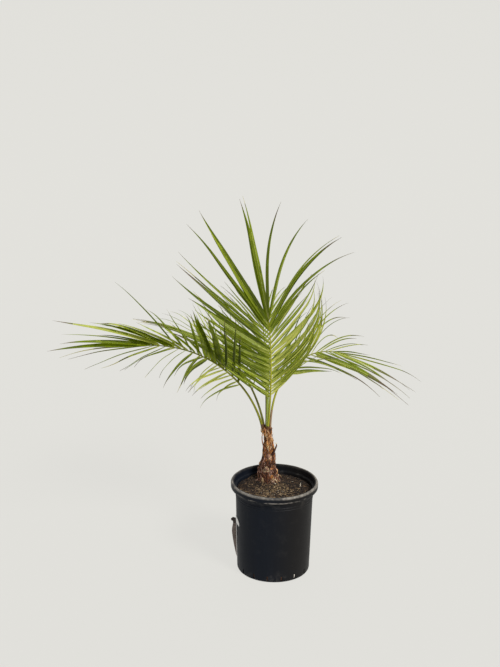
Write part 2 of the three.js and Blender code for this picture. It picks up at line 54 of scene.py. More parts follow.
MM = 0.001
UP = np.array([0.0, 0.0, 1.0])

# Pot, in millimetres and degrees, as in the solids
POT_SIDES = 144
POT_HEIGHT = 248.0
POT_RIM_RADIUS = 114.5
POT_FOOT_RADIUS = 96.0
POT_NECK_RADIUS = 101.3
POT_NECK_HEIGHT = 222.0
POT_WALL = 2.2
POT_FLOOR = 3.0
FOOT_CHAMFER = 5.0
RIM_DEPTH = 15.6
RIM_BAND = 2.6
RIM_INSET = 6.0
RIM_STEP = 9.0
NECK_BEAD = 2.9
WALL_HEIGHTS = (70, 140, 204)
FINE_RINGS = (207, 213.5)
FINE_RING_STAND = 0.7
POT_FIRST_ANGLE = 1.25
POT_SHARP_ANGLE = 35
LIP_RADIUS = 109.2
SLOT_COUNT = 16
SLOT_FIRST_ANGLE = -31.5
SLOT_CENTRE = (0, -94, 9.5)
SLOT_SIZE = (4, 14, 17)

# Soil, with its crumbs, its shreds and the fan of shreds in front of the trunk
SOIL_EDGE_HEIGHT = 223.0
SOIL_EDGE_RADIUS = 98.4
SOIL_MOUND = 7.0
SOIL_MOUND_SPREAD = 40.0
SOIL_GAP = 0.3
CRUMB_RINGS = ((0, -1), (0.8, -0.6), (1, 0.1), (0.6, 0.75), (0, 1))
CRUMB_LENGTH = 1.35
CRUMB_WIDTH = 0.8
LITTER_MIDDLE = -30
FAN_NEAR = 40
FAN_DEPTH = 64
FAN_AZIMUTH = -74
FAN_SPREAD = 30
SHRED_TAPER = np.array([0.4, 1, 1, 1, 0.8, 0.2])
PALE_FLAKE = ((68, 7, 229, 1), (68.3, 7.4, 233, 1.1), (68.8, 8, 236, 0.8), (69.4, 8.6, 239, 0.3))

# Trunk: height, centre and radius by section, then its sheaths, leaf bases and fibres
TRUNK_HEIGHTS = (217, 226, 238, 251, 263, 276, 291, 306, 324, 342, 357, 368)
TRUNK_X = (-17, -17, -17.5, -18.5, -19, -18.5, -17, -16.5, -16.5, -18, -20, -22)
TRUNK_Y = (60, 60, 60.4, 60.8, 61.2, 61.8, 62.4, 63, 63.6, 64.2, 64.8, 65)
TRUNK_RADII = (27, 28.5, 28.5, 26.5, 23.5, 20, 17.2, 15.6, 13, 11.6, 12, 13)
SHEATH_START = 240.0
SHEATH_RISE = 17.0
SHEATH_STAND = 1.6
SHEATH_EDGE = 0.86
BARK_START = 224.0
BARK_FADE = 14.0
BARK_DEPTH = 2.2
LEAF_BASES = 34
LEAF_BASE_LOWEST = 226
LEAF_BASE_HIGHEST = 352
LEAF_BASE_TURN = 20.0
LEAF_BASE_THICKNESS = 0.9
GOLDEN_ANGLE = 137.5
FIRST_STUB = 50
FIRST_FOOT_BASE = 70
FOOT_BASES = 26
FOOT_FIBRES = 170
TUFT_FIBRES = 34
FIBRE_LOWEST = 226
FIBRE_HIGHEST = 364
FIBRE_TOP = 369.0
FIBRE_TAPER = np.array([0.5, 1, 1, 1, 0.8, 0.15])
FOOT_TAPER = np.array([1, 1, 0.9, 0.7, 0.3])

# Single pieces of the trunk: x, y, height and radius by point
HANGING_STRIP = (
    (-26, 47, 314, 1.8), (-29.4, 45, 322, 1.8), (-32.4, 45, 332, 1.6), (-34.4, 45, 343, 1.4),
    (-34.6, 45, 353, 1.2), (-33.6, 45, 360, 0.9), (-32.6, 45, 363, 0.4))
HOOKED_BASE = (
    (-6, 50, 298, 3.4), (-3.4, 49, 306, 3.2), (-0.6, 48.4, 314, 2.8), (2.2, 48, 321, 2.4),
    (4.2, 48, 327, 2), (3.4, 48, 332, 1.5), (1.2, 48, 334.6, 0.7))

# Single leaf bases at the trunk's foot: height, azimuth, length, spread and stand off the bark
FOOT_STUBS = (
    (221, -45, 38, 0.2, 6.5), (222, -60, 22, 0.14, 3), (221, -103, 15, 0.12, 2.5),
    (222, -117, 17, 0.14, 3.2), (243, 188, 25, 0.2, 2), (228, 160, 26, 0.3, 3),
    (224, 60, 24, 0.3, 3), (236, -20, 24, 0.22, 2.6))
PALE_STUBS = (1, 3)

# First seeds of the fixed scatter, one for each kind of thing
CRUMB_SEED = 60
SHRED_SEED = 70
BASE_SEED = 90
FIBRE_SEED = 100
TUFT_SEED = 110
FOOT_BASE_SEED = 120
FOOT_FIBRE_SEED = 130

# Places of the finishes in the soil's litter and in the trunk's fibre
CRUMB_BLACK, CRUMB_BROWN, CRUMB_TAN, CRUMB_PALE, SHRED_BROWN, SHRED_TAN = range(6)
DARK, BROWN, ORANGE, STRAW, GREY = range(5)

# Fronds, by the same rule as the solids
CROWN = np.array([-22.5, 65.0, 368.3])
RIB_STEPS = 24
RIB_FOOT_RADIUS = 3.6
RIB_NECK_RADIUS = 2.9
RIB_TIP_RADIUS = 1.2
RIB_SLIMNESS = 0.88
CLASP_REACH = 0.09
CLASP_SPREAD = 0.4
RIB_SOCKET = 9
BROWN_FOOT = 0.035
LEAFLET_STEPS = 36
LEAFLET_STATIONS = (0, 0.4, 0.75, 1)
LEAFLET_NARROWEST = 0.55
LEAFLET_FULL_REACH = 330.0
LEAFLET_TILT = 40.0
LEAFLET_CROWDING = 1.35
LEAFLET_STAGGER = 0.35

# Leaflet's blade, folded along its midrib; lengths along it are shares of its length
BLADE_FOOT = 0.02
BLADE_RISE = 0.45
BLADE_RUNOUT = 1.1
BLADE_SWELL = 2.5
BLADE_SHOULDER = 0.55
TIP_HALF_WIDTH = 0.55
TIP_START = 0.7
MIDRIB_HALF_WIDTH = 0.6
MIDRIB_END = 0.72

# Leaflet's tones: paler at the foot, dry at the tip
PALE_MIDRIB_TONE = 2.1
LEAF_FOOT = 0.2
LEAF_FOOT_PALENESS = 1.1
TONE_SCATTER = 1.1
DRY_TIP = 0.07
DRY_RUN = 0.14
DRY_RUN_SCATTER = 0.16
OLIVE_SHARE = 0.35

# How far single leaflets stray from their side's sizes, and the seeds of their own numbers
STRAY = {"angle": 2.0, "lift": 2.0, "reach": 0.05, "droop": 0.25, "width": 0.1}
STRAY_SEED = {
    "angle": 0, "lift": 3, "reach": 7, "width": 9, "droop": 11,
    "tone": 20, "dry": 21, "dry_run": 22, "mottle": 23, "lit": 24, "lit_half": 25,
    "wave": 31, "broad": 32, "tip_aside": 33, "tip_up": 34, "keel": 35,
    "loose_angle": 41, "loose_lift": 42,
}

# Leaf shades from deep to straw; a tone is a place in this row
LEAF_SHADES = (
    ("leaf_deep", (70, 81, 12)),
    ("leaf_dark", (90, 103, 14)),
    ("leaf_mid", (106, 121, 16)),
    ("leaf_fresh", (134, 147, 36)),
    ("leaf_pale", (168, 174, 88)),
    ("leaf_yellow", (196, 197, 116)),
)
TIP_SHADES = (
    ("tip_olive", (108, 108, 66)),
    ("tip_brown", (104, 90, 74)),
    ("tip_grey", (132, 126, 118)),
    ("tip_straw", (186, 178, 146)),
)
MIDRIB_SHADES = (
    ("midrib_green", (160, 168, 84)),
    ("midrib_pale", (200, 202, 130)),
)
LEAF_FINISHES = LEAF_SHADES + TIP_SHADES + MIDRIB_SHADES
FIRST_TIP = len(LEAF_SHADES)
FIRST_MIDRIB = FIRST_TIP + len(TIP_SHADES)

RIB_FINISHES = (
    ("rib_brown", (92, 66, 40)),
    ("rib_olive", (102, 102, 30)),
    ("rib_green", (120, 122, 24)),
    ("rib_yellow", (156, 156, 40)),
    ("rib_tan", (150, 122, 92)),
)
# A rib whose tone lies beyond this one is tan at its stalk and has no brown foot
RIB_YELLOW = 3

# Red, green and blue of light that has passed through a leaf, as shares of the leaf's own
LIT_THROUGH = (1.14, 1.16, 0.7)

# The leaflets on one side of a frond. A row of four is read at the four stations along the rib.
# Under odd, wide and shade single leaflets have their own angle, lift and reach, width and tone;
# under between stand the extra, narrower ones, and behind is the tone of those, where it is given,
# set low as painted shade, since they lie behind the others
USUAL_LEAFLETS = {
    "angle": (45, 45, 30, 8),
    "lift": (10, 10, 10, 5),
    "reach": (165, 195, 205, 190),
    "curl": (0.3, 0.3, 0.1, 0),
    "droop": (0.3, 0.3, 0.3, 0.3),
    "hook": (0.1, 0.1, 0, 0),
    "odd": {},
    "wide": {},
    "tone": (1.0, 1.2, 1.4, 1.6),
    "broad": (0.75, 0.6, 0.55, 0.5),
    "dry": 0.6,
    "dry_run": (1, 1),
    "shade": {},
    "between": {},
    "loose": 0,
    "tip_curl": 7,
}
SIDE_LEAFLETS = {
    **USUAL_LEAFLETS,
    "reach": (170, 210, 225, 215),
}

# Offset from the crown's middle and length are in millimetres; azimuth, lean (first, last and its
# power), sway and roll in degrees; petiole is the bare stalk's share of the length, and rib_tone
# the rib's tone at its foot and above its stalk
FRONDS = (
    {
        "name": "front",
        "azimuth": 286,
        "offset": 7.5,
        "length": 350,
        "lean": (16, 21, 1.2),
        "sway": -32,
        "roll": (0, 0),
        "petiole": 0.3,
        "pairs": 18,
        "seed": 1,
        "rib_tone": (3, 3),
        "right": {
            **USUAL_LEAFLETS,
            "angle": (63, 76, 41, 4),
            "lift": (25, 25, 5, 0),
            "reach": (190, 235, 345, 335),
            "curl": (0.35, 0.35, 0.15, 0),
            "droop": (0.1, 0.1, 0.1, 0.05),
            "hook": (0.2, 0.2, 0, 0),
            "odd": {3: (0, 0, 0.95), 5: (0, 0, 0.96), 9: (6, 0, 1.13), 10: (3, 0, 1.07),
                    11: (1, 0, 1), 12: (5, 0, 0.95), 13: (-5, 0, 1.04), 14: (-4, 0, 0.86),
                    15: (5, 0, 1.02), 16: (-8, 0, 1), 17: (0, 0, 1.02)},
            "tone": (2.5, 2.3, 2.0, 2.1),
            "shade": {9: 1.4, 10: 1.7, 11: 1.6, 12: 2.3, 13: 1.5, 14: 2.2, 15: 2.0, 16: 1.9,
                      17: 2.3},
            "broad": (0.95, 1.2, 1.3, 1.35),
            "wide": {9: 0.8, 10: 0.9, 11: 0.5, 12: 0.55, 13: 0.8, 14: 1.15, 17: 0.7},
            "between": {**{k + 0.5: (0, -14, 0.95) for k in range(7)},
                        7.5: (0, -12, 0.95), 8.5: (0, -10, 0.95)},
            "behind": 2.2,
            "dry": 0.3,
        },
        "left": {
            **USUAL_LEAFLETS,
            "angle": (41, 46, 33, 1),
            "lift": (-5, -4, 0, 0),
            "reach": (330, 284, 340, 335),
            "curl": (0.3, 0.3, -0.5, -0.1),
            "droop": (0.15, 0.15, 0.15, 0.1),
            "hook": (0.9, 1, -0.1, -0.35),
            "odd": {0: (-4, 0, 1.04), 9: (-4, 0, 0.84), 10: (-6, 0, 0.81), 11: (-9, 0, 0.73),
                    12: (-8, 0, 0.78), 13: (-4, 0, 0.97), 15: (6, 0, 1.05), 16: (4, 0, 1),
                    17: (2, 0, 1.02)},
            # Painted light: the lower leaflets on this side are painted pale yellow-green, as light
            # shining through them
            "tone": (4.0, 3.7, 2.4, 2.0),
            "shade": {12: 1.6, 13: 2.0, 14: 1.3, 15: 2.2, 16: 2.2, 17: 2.1},
            "broad": (0.8, 0.85, 0.95, 1.15),
            "wide": {9: 0.85, 10: 0.8, 11: 0.7, 12: 0.75, 13: 0.8, 14: 1.1, 15: 0.5, 16: 0.9,
                     0.5: 0.7, 1.5: 0.7, 2.5: 0.7, 3.5: 0.7, 4.5: 0.6, 5.5: 0.6},
            "between": {0.5: (0, -9, 0.84), 1.5: (0, -9, 0.82), 2.5: (0, -9, 0.8),
                        3.5: (0, -9, 0.76), 4.5: (0, -9, 0.74), 5.5: (0, -9, 0.7)},
            "behind": 2.3,
            "tip_curl": 2,
            "dry": 0.4,
        },
    },
    {
        "name": "left",
        "azimuth": 200,
        "offset": 11,
        "length": 430,
        "lean": (14, 86, 1),
        "sway": 0,
        "roll": (45, 35),
        "petiole": 0.34,
        "pairs": 16,
        "seed": 2,
        "rib_tone": (2.2, 2.2),
        "right": {
            **USUAL_LEAFLETS,
            "angle": (97, 95, 60, 12),
            "lift": (0, 0, 0, 0),
            "reach": (180, 190, 175, 225),
            "curl": (0, -0.1, -0.1, 0),
            "droop": (0.55, 0.55, 0.3, 0.3),
            "hook": (0.3, 0.3, 0, 0),
            "odd": {1: (-4, 0, 0.82), 2: (-6, 0, 0.8), 8: (0, 0, 0.8)},
            # Painted light: these leaflets hang below the rib, and their first ones are painted
            # yellow-green as light shining through them from above
            "tone": (3.6, 3.2, 2.4, 1.8),
            "shade": {0: 2.4, 1: 4.4, 2: 4.7, 3: 4.6, 4: 4.0, 5: 1.9, 6: 2.1, 7: 1.9,
                      0.5: 3.6, 1.5: 4.6, 2.5: 4.8, 3.5: 4.6},
            "broad": (0.55, 0.6, 0.42, 0.4),
            "wide": {3: 0.6, 4: 0.5, 5: 1.9, 6: 1.2, 7: 1.2, 8: 0.4, 9: 0.4, 10: 0.5, 11: 0.6},
            "between": {0.5: (10, 6, 0.7), 1.5: (-12, -10, 0.6), 2.5: (-20, -14, 0.65),
                        3.5: (-8, -18, 0.6), 5.5: (-20, 0, 0.8), 9.5: (-10, 0, 0.85)},
            "loose": 8,
            "dry": 0.9,
            "dry_run": (0.4, 2.3),
        },
        "left": {
            **USUAL_LEAFLETS,
            "angle": (48, 52, 25, 6),
            "lift": (10, 10, 14, 0),
            "reach": (190, 190, 280, 245),
            "curl": (0.2, 0.2, 0, -0.2),
            "droop": (0.1, 0.1, 0.2, 0.2),
            "hook": (0, 0, 0, 0),
            "odd": {0: (-6, 0, 0.88), 3: (-7, 0, 0.95), 4: (-7, 0, 0.98), 7: (0, 0, 0.9),
                    8: (-2, 0, 0.92), 9: (0, 20, 1.2), 10: (-8, -4, 0.72), 11: (0, 0, 0.8),
                    12: (0, 0, 1.1), 13: (4, 5, 0.65)},
            # Painted shade: these leaflets rise towards the camera, and their first ones are painted
            # dark as the shaded face they show
            "tone": (0.3, 1.2, 1.9, 1.8),
            "shade": {0: 0.4, 1: 0.5, 2: 0.6, 3: 1.6, 4: 1.9, 5: 2.0, 6: 2.2, 7: 2.0, 8: 2.2,
                      9: 1.2, 10: 2.7, 11: 2.9, 12: 2.9, 13: 2.6, 14: 2.8, 15: 2.2, 12.5: 2.8,
                      2.5: 1.6, 3.5: 1.9, 4.5: 2.4, 5.5: 2.9, 6.5: 3.1, 7.5: 3.2, 8.5: 3.1,
                      9.5: 3, 10.5: 2.9},
            "broad": (1.1, 1.1, 1.4, 1.6),
            "wide": {0: 1.2, 1: 1.2, 2: 1.1, 3: 2.2, 4: 2.2, 5: 2.0, 6: 1.6, 7: 0.8, 9: 0.5,
                     10: 1.6, 11: 1.7, 12: 1.5, 14: 1.4, 15: 1.3,
                     2.5: 2.2, 3.5: 2.1, 4.5: 2.0, 5.5: 1.6, 6.5: 1.7, 7.5: 1.7, 8.5: 1.6,
                     9.5: 1.5, 10.5: 1.4},
            "between": {2.5: (-8, -4, 1.1), 3.5: (-12, 4, 0.95), 4.5: (-8, -6, 1.1),
                        5.5: (-18, -8, 0.95), 6.5: (-20, -10, 0.9), 7.5: (-20, -10, 0.85),
                        8.5: (-18, -8, 0.85), 9.5: (-14, -6, 0.85), 10.5: (-6, -4, 0.9),
                        12.5: (-3, -2, 0.95)},
            "dry": 0.7,
            "dry_run": (0.6, 0.8),
        },
    },
    {
        "name": "right",
        "azimuth": 15,
        "offset": 9,
        "length": 312,
        "lean": (2, 108, 1.6),
        "sway": 0,
        "roll": (0, 0),
        "petiole": 0.4,
        "pairs": 15,
        "seed": 5,
        "rib_tone": (4.4, 2.2),
        "right": {
            **USUAL_LEAFLETS,
            "angle": (60, 85, 62, 16),
            "lift": (5, 5, -5, -5),
            "reach": (170, 290, 275, 215),
            "curl": (0.15, 0.15, 0.15, 0),
            "droop": (0.3, 0.6, 0.5, 0.5),
            "hook": (0.3, 0.6, 0.3, 0),
            "odd": {0: (-25, -10, 0.7), 1: (-20, -8, 0.8), 4: (-14, 0, 0.78), 5: (-10, 0, 0.8),
                    6: (-6, -4, 1.14), 7: (-4, 0, 1.08), 8: (0, -2, 1.08), 9: (0, -2, 1.06),
                    12: (6, 0, 0.93), 13: (5, 0, 0.97)},
            "tone": (2.6, 2.6, 2.8, 2.4),
            "shade": {2: 3, 6: 0.6, 8: 2.4, 10: 1.6, 12: 1.8},
            "broad": (0.8, 0.7, 0.7, 0.5),
            "wide": {1: 0.4, 2: 1.5, 3: 0.6, 4: 0.5, 5: 0.5, 6: 0.85, 7: 0.55, 8: 1.9, 9: 0.6,
                     10: 0.6, 11: 0.6, 12: 0.8, 13: 0.7},
            "loose": 3,
            "dry": 0.9,
            "dry_run": (1.2, 2.0),
        },
        "left": {
            **USUAL_LEAFLETS,
            "angle": (30, 50, 35, 5),
            "lift": (10, 0, 5, 0),
            "reach": (225, 295, 150, 268),
            "curl": (0.3, 0.1, 0, 0),
            "droop": (0.3, 0.65, 0.35, 0.2),
            "hook": (0.3, 0.5, 0.1, 0),
            "odd": {3: (-2, 0, 1.06), 7: (8, 0, 0.86), 9: (6, 0, 0.92), 12: (4, 0, 0.72)},
            "tone": (1.8, 2.3, 2.8, 2.8),
            "broad": (0.95, 0.9, 0.75, 0.65),
            "loose": 4,
            "dry": 0.95,
        },
    },
    {
        "name": "back",
        "azimuth": 95,
        "offset": 9,
        "length": 320,
        "lean": (10, 70, 1.2),
        "sway": 0,
        "roll": (0, 0),
        "petiole": 0.33,
        "pairs": 16,
        "seed": 4,
        "rib_tone": (0, 1),
        "right": USUAL_LEAFLETS,
        "left": USUAL_LEAFLETS,
    },
    {
        "name": "left_back",
        "azimuth": 142,
        "offset": 9,
        "length": 310,
        "lean": (12, 80, 1),
        "sway": 0,
        "roll": (0, 0),
        "petiole": 0.34,
        "pairs": 16,
        "seed": 3,
        "rib_tone": (1, 1),
        "right": SIDE_LEAFLETS,
        "left": SIDE_LEAFLETS,
    },
)

# Spear
SPEAR_HEIGHT = 235.0
SPEAR_LEAN = (4.0, 9.0)

# Strip on the pot's side: height and how far it stands off the wall, by section
STRIP_SECTIONS = (
    (26, 0.8), (34, 2.6), (45, 4.8), (56, 6.9), (66, 8.4), (78, 10), (90, 11.6), (100, 12.3),
    (108, 12), (116, 10.4), (124, 9), (130, 9.4), (133, 14), (137, 14.3), (141, 9))
STRIP_COLUMNS = 8
STRIP_THICKNESS = 1.2
STRIP_DARK_ROWS = 5

# Patch on the pot's side: degrees round from the left, low edge and high edge, by column
PATCH_COLUMNS = (
    (2, 138, 147.5), (6, 136, 149.5), (10, 135.2, 151), (15, 134.6, 151.5), (20, 134.3, 150.5),
    (23, 134.1, 146), (25, 134, 141))
PATCH_GAP = 0.35
PATCH_OUTSIDE = 1.2

# Stage, in metres and degrees, with the lens in millimetres. The camera's place and turn come
# from a fit to the pot's edges
CAMERA_PLACE = (-0.0115, -2.825, 1.502)
CAMERA_PITCH = 16.8
CAMERA_YAW = 1.15
CAMERA_ROLL = 0.6
CAMERA_LENS = 63.15
CAMERA_SENSOR = 36
CAMERA_REACH = 60
FLOOR_ACROSS = (-6.0, -2.0, 2.0, 6.0)
FLOOR_DEPTHS = (-5.0, -3.0, -1.0, 1.0, 2.5)
FLOOR_BEND = 2.0
FLOOR_BEND_STEPS = 12
FLOOR_TOP = 6.0
FLOOR_BASE = (0.045, 0.045, 0.043, 1)
FLOOR_GLOW = 0.915
SKY_TINT = (0.93, 0.95, 1.0, 1)

# Lamps: name, turn, strength as a share of the broad lamp's, softness and tint
LAMPS = (
    ("key", (48, 0, 42), 1, 16, (1.0, 0.97, 0.92)),
    ("back", (48, 0, 165), 0.35, 25, (1.0, 0.98, 0.95)),
)


def linear(color):
    """A display colour of 0 to 255 as the linear red, green, blue and alpha of a shader."""
    def channel(value):
        value /= 255
        return value / 12.92 if value <= 0.04045 else ((value + 0.055) / 1.055) ** 2.4
    return tuple(channel(value) for value in color) + (1.0,)


def scatter(seed, index):
    """A fixed number between -1 and 1 for a seed and an index."""
    value = math.sin(seed * 12.9898 + index * 78.233) * 43758.5453
    return 2 * (value - math.floor(value)) - 1


def unit(vectors):
    """Each vector made one long."""
    vectors = np.asarray(vectors, float)
    return vectors / np.linalg.norm(vectors, axis=-1, keepdims=True)


def as_share(spread):
    """A number between -1 and 1 as one between 0 and 1."""
    return 0.5 + 0.5 * spread


def mix(low, high, share):
    """The value at a share of the way from low to high."""
    return low + (high - low) * share


def polar(azimuth):
    """The level direction at an azimuth in radians."""
    return np.array([math.cos(azimuth), math.sin(azimuth), 0.0])


def ring_angles(sides):
    """The angles of a ring's points, in radians."""
    return 2 * np.pi * np.arange(sides) / sides


def shaded(color, factor):
    """A display colour made lighter or darker."""
    return tuple(min(255, value * factor) for value in color)


def cap(ring):
    """A ring drawn together at its middle, to close the end of a tube."""
    return np.broadcast_to(ring.mean(0), ring.shape)[None]


def new_object(name, data):
    """An object of some data, in the scene."""
    thing = bpy.data.objects.new(name, data)
    bpy.context.scene.collection.objects.link(thing)
    return thing


class Draws:
    """Fixed numbers for one thing of many: each is drawn by its own number."""

    def __init__(self, seed, index):
        self.seed = seed
        self.index = index

    def spread(self, number):
        """A number between -1 and 1."""
        return scatter(self.seed + number, self.index)

    def share(self, number):
        """A number between 0 and 1."""
        return as_share(self.spread(number))


class Value:
    """A shader socket that takes part in sums, so that shader maths reads as an expression."""

    def __init__(self, finish, socket):
        self.finish = finish
        self.socket = socket

    def math(self, operation, *values):
        node = self.finish.node("ShaderNodeMath", {"operation": operation}, dict(enumerate(values)))
        return Value(self.finish, node.outputs[0])

    def __add__(self, other):
        return self.math("ADD", self, other)

    def __radd__(self, other):
        return self.math("ADD", other, self)

    def __sub__(self, other):
        return self.math("SUBTRACT", self, other)

    def __rsub__(self, other):
        return self.math("SUBTRACT", other, self)

    def __mul__(self, other):
        return self.math("MULTIPLY", self, other)

    def __rmul__(self, other):
        return self.math("MULTIPLY", other, self)

    def __gt__(self, other):
        return self.math("GREATER_THAN", self, other)

    def __lt__(self, other):
        return self.math("LESS_THAN", self, other)


class Finish:
    """A material and the few ways in which its nodes are made and joined."""

    def __init__(self, name, color=None, rough=0.5, gloss=0.5):
        self.material = bpy.data.materials.new(name)
        self.material.use_nodes = True
        self.tree = self.material.node_tree
        self.surface = next(n for n in self.tree.nodes if n.type == "BSDF_PRINCIPLED")
        self.output = next(n for n in self.tree.nodes if n.type == "OUTPUT_MATERIAL")
        self.set("Roughness", rough)
        self.set("Specular IOR Level", gloss)
        if color is not None:
            self.set("Base Color", linear(color))
            self.material.diffuse_color = linear(color)

    def node(self, kind, settings=None, inputs=None):
        """A node of a kind: its settings come first, then the values or links of its sockets."""
        node = self.tree.nodes.new(kind)
        for key, value in (settings or {}).items():
            if key == "stops":
                self.set_stops(node.color_ramp, value)
            else:
                setattr(node, key, value)
        for key, value in (inputs or {}).items():
            self.feed(node.inputs[key], value)
        return node

    def set_stops(self, ramp, stops):
        while len(ramp.elements) < len(stops):
            ramp.elements.new(0.5)
        for element, (place, color) in zip(ramp.elements, stops):
            element.position = place
            element.color = linear(color)

    def feed(self, socket, value):
        if isinstance(value, Value):
            self.tree.links.new(value.socket, socket)
        else:
            socket.default_value = value

    def place(self, kind="Object"):
        """Where on the piece a point of the surface is: in the object's metres, or across it."""
        return Value(self, self.node("ShaderNodeTexCoord").outputs[kind])

    def stretched(self, place, scale):
        """The place, scaled along each axis."""
        node = self.node("ShaderNodeMapping", {}, {"Vector": place, "Scale": scale})
        return Value(self, node.outputs["Vector"])

    def cloud(self, place, scale, detail=4.0, roughness=0.55):
        """A soft noise from 0 to 1."""
        node = self.node("ShaderNodeTexNoise", {}, {
            "Vector": place, "Scale": scale, "Detail": detail, "Roughness": roughness})
        return Value(self, node.outputs["Fac"])

    def split(self, place):
        """The place's three parts as values."""
        node = self.node("ShaderNodeSeparateXYZ", {}, {0: place})
        return [Value(self, socket) for socket in node.outputs]

    def smooth(self, value, low, high):
        """0 below low and 1 above high, with a soft step between."""
        node = self.node("ShaderNodeMapRange", {"interpolation_type": "SMOOTHSTEP"}, {
            "Value": value, "From Min": low, "From Max": high})
        return Value(self, node.outputs["Result"])

    def blend(self, share, low, high):
        """A colour between two, each a display colour or a colour from other shader maths."""
        low, high = (end if isinstance(end, Value) else linear(end) for end in (low, high))
        node = self.node("ShaderNodeMix", {"data_type": "RGBA"}, {0: share, 6: low, 7: high})
        return Value(self, node.outputs[2])

    def ramp(self, value, stops):
        """A colour read from stops of place and colour."""
        node = self.node("ShaderNodeValToRGB", {"stops": stops}, {"Fac": value})
        return Value(self, node.outputs["Color"])

    def relief(self, height, strength, distance):
        """Fine relief from a height, fed to the surface's normal."""
        node = self.node("ShaderNodeBump", {}, {
            "Height": height, "Strength": strength, "Distance": distance})
        self.tree.links.new(node.outputs["Normal"], self.surface.inputs["Normal"])

    def set(self, key, value):
        """Feeds a value or colour to a socket of the surface."""
        self.feed(self.surface.inputs[key], value)

    def let_light_through(self, color, share):
        """Mixes in light from behind, as a leaf shows it against the sky."""
        through = self.node("ShaderNodeBsdfTranslucent", {}, {"Color": linear(color)})
        mixed = self.node("ShaderNodeMixShader", {}, {0: share})
        self.tree.links.new(self.surface.outputs[0], mixed.inputs[1])
        self.tree.links.new(through.outputs[0], mixed.inputs[2])
        self.tree.links.new(mixed.outputs[0], self.output.inputs["Surface"])


class Sheets:
    """Grids of points gathered into one mesh, each face with the number of its finish."""

    def __init__(self):
        self.points = []
        self.faces = []
        self.slots = []
        self.spots = []
        self.count = 0

    def add(self, grid, slots, closed=False):
        """Adds a grid of rows by columns, in millimetres; closed makes each row a ring."""
        rows, columns = grid.shape[:2]
        here = np.arange(columns if closed else columns - 1)
        after = (here + 1) % columns
        low = np.arange(rows - 1)[:, None] * columns
        high = low + columns
        quads = np.stack([low + here, low + after, high + after, high + here], -1)
        self.faces.append(quads.reshape(-1, 4) + self.count)
        self.slots.append(np.broadcast_to(slots, quads.shape[:2]).reshape(-1))
        self.points.append(grid.reshape(-1, 3))
        across, along = np.meshgrid(np.linspace(0, 1, columns), np.linspace(0, 1, rows))
        self.spots.append(np.stack([across, along], -1).reshape(-1, 2))
        self.count += rows * columns

    def add_strand(self, points, radii, slots, sides=3, turn=0.0):
        """Adds a thin tube round a line of points."""
        self.add(strand(points, radii, sides, turn), slots, closed=True)

    def add_line(self, line, slots, sides=3):
        """Adds a thin tube from rows of x, y, height and radius."""
        line = np.array(line, float)
        self.add_strand(line[:, :3], line[:, 3], slots, sides)

    def piece(self, name, finishes, nodes, slot, sharp=40.0):
        """The mesh as a piece that rides on the body and stands for its nodes."""
        points = np.concatenate(self.points) * MM
        faces = np.concatenate(self.faces)
        spots = np.concatenate(self.spots)
        mesh = bpy.data.meshes.new(name)
        mesh.vertices.add(len(points))
        mesh.vertices.foreach_set("co", points.ravel())
        mesh.loops.add(faces.size)
        mesh.loops.foreach_set("vertex_index", faces.ravel())
        mesh.polygons.add(len(faces))
        mesh.polygons.foreach_set("loop_start", np.arange(0, faces.size, 4))
        mesh.polygons.foreach_set("material_index", np.concatenate(self.slots).astype(np.int32))
        mesh.polygons.foreach_set("use_smooth", np.ones(len(faces), bool))
        layer = mesh.uv_layers.new(name="across_and_along")
        layer.uv.foreach_set("vector", spots[faces.ravel()].ravel())
        mesh.update(calc_edges=True)
        shape = bmesh.new()
        shape.from_mesh(mesh)
        bmesh.ops.remove_doubles(shape, verts=shape.verts, dist=1e-6)
        shape.to_mesh(mesh)
        shape.free()
        for finish in finishes:
            mesh.materials.append(finish)
        mesh.set_sharp_from_angle(angle=math.radians(sharp))
        piece = new_object(name, mesh)
        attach(piece, "root")
        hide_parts(*nodes)
        return piece


def strand(points, radii, sides, turn):
    """A thin tube as rings round a line of points, its last ring drawn to the end."""
    points = np.asarray(points, float)
    along = unit(np.gradient(points, axis=0))
    side = np.cross(along, UP)
    level = np.linalg.norm(side, axis=1) < 0.05
    side[level] = np.cross(along[level], [1.0, 0.0, 0.0])
    side = unit(side)
    over = np.cross(side, along)
    angles = turn + ring_angles(sides)
    ring = (side[:, None] * np.cos(angles)[None, :, None]
            + over[:, None] * np.sin(angles)[None, :, None])
    return points[:, None] + ring * np.asarray(radii, float)[:, None, None]


def wall_radius(height):
    """The radius of the pot's outside at a height below its neck."""
    return mix(POT_FOOT_RADIUS, POT_NECK_RADIUS, height / POT_NECK_HEIGHT)


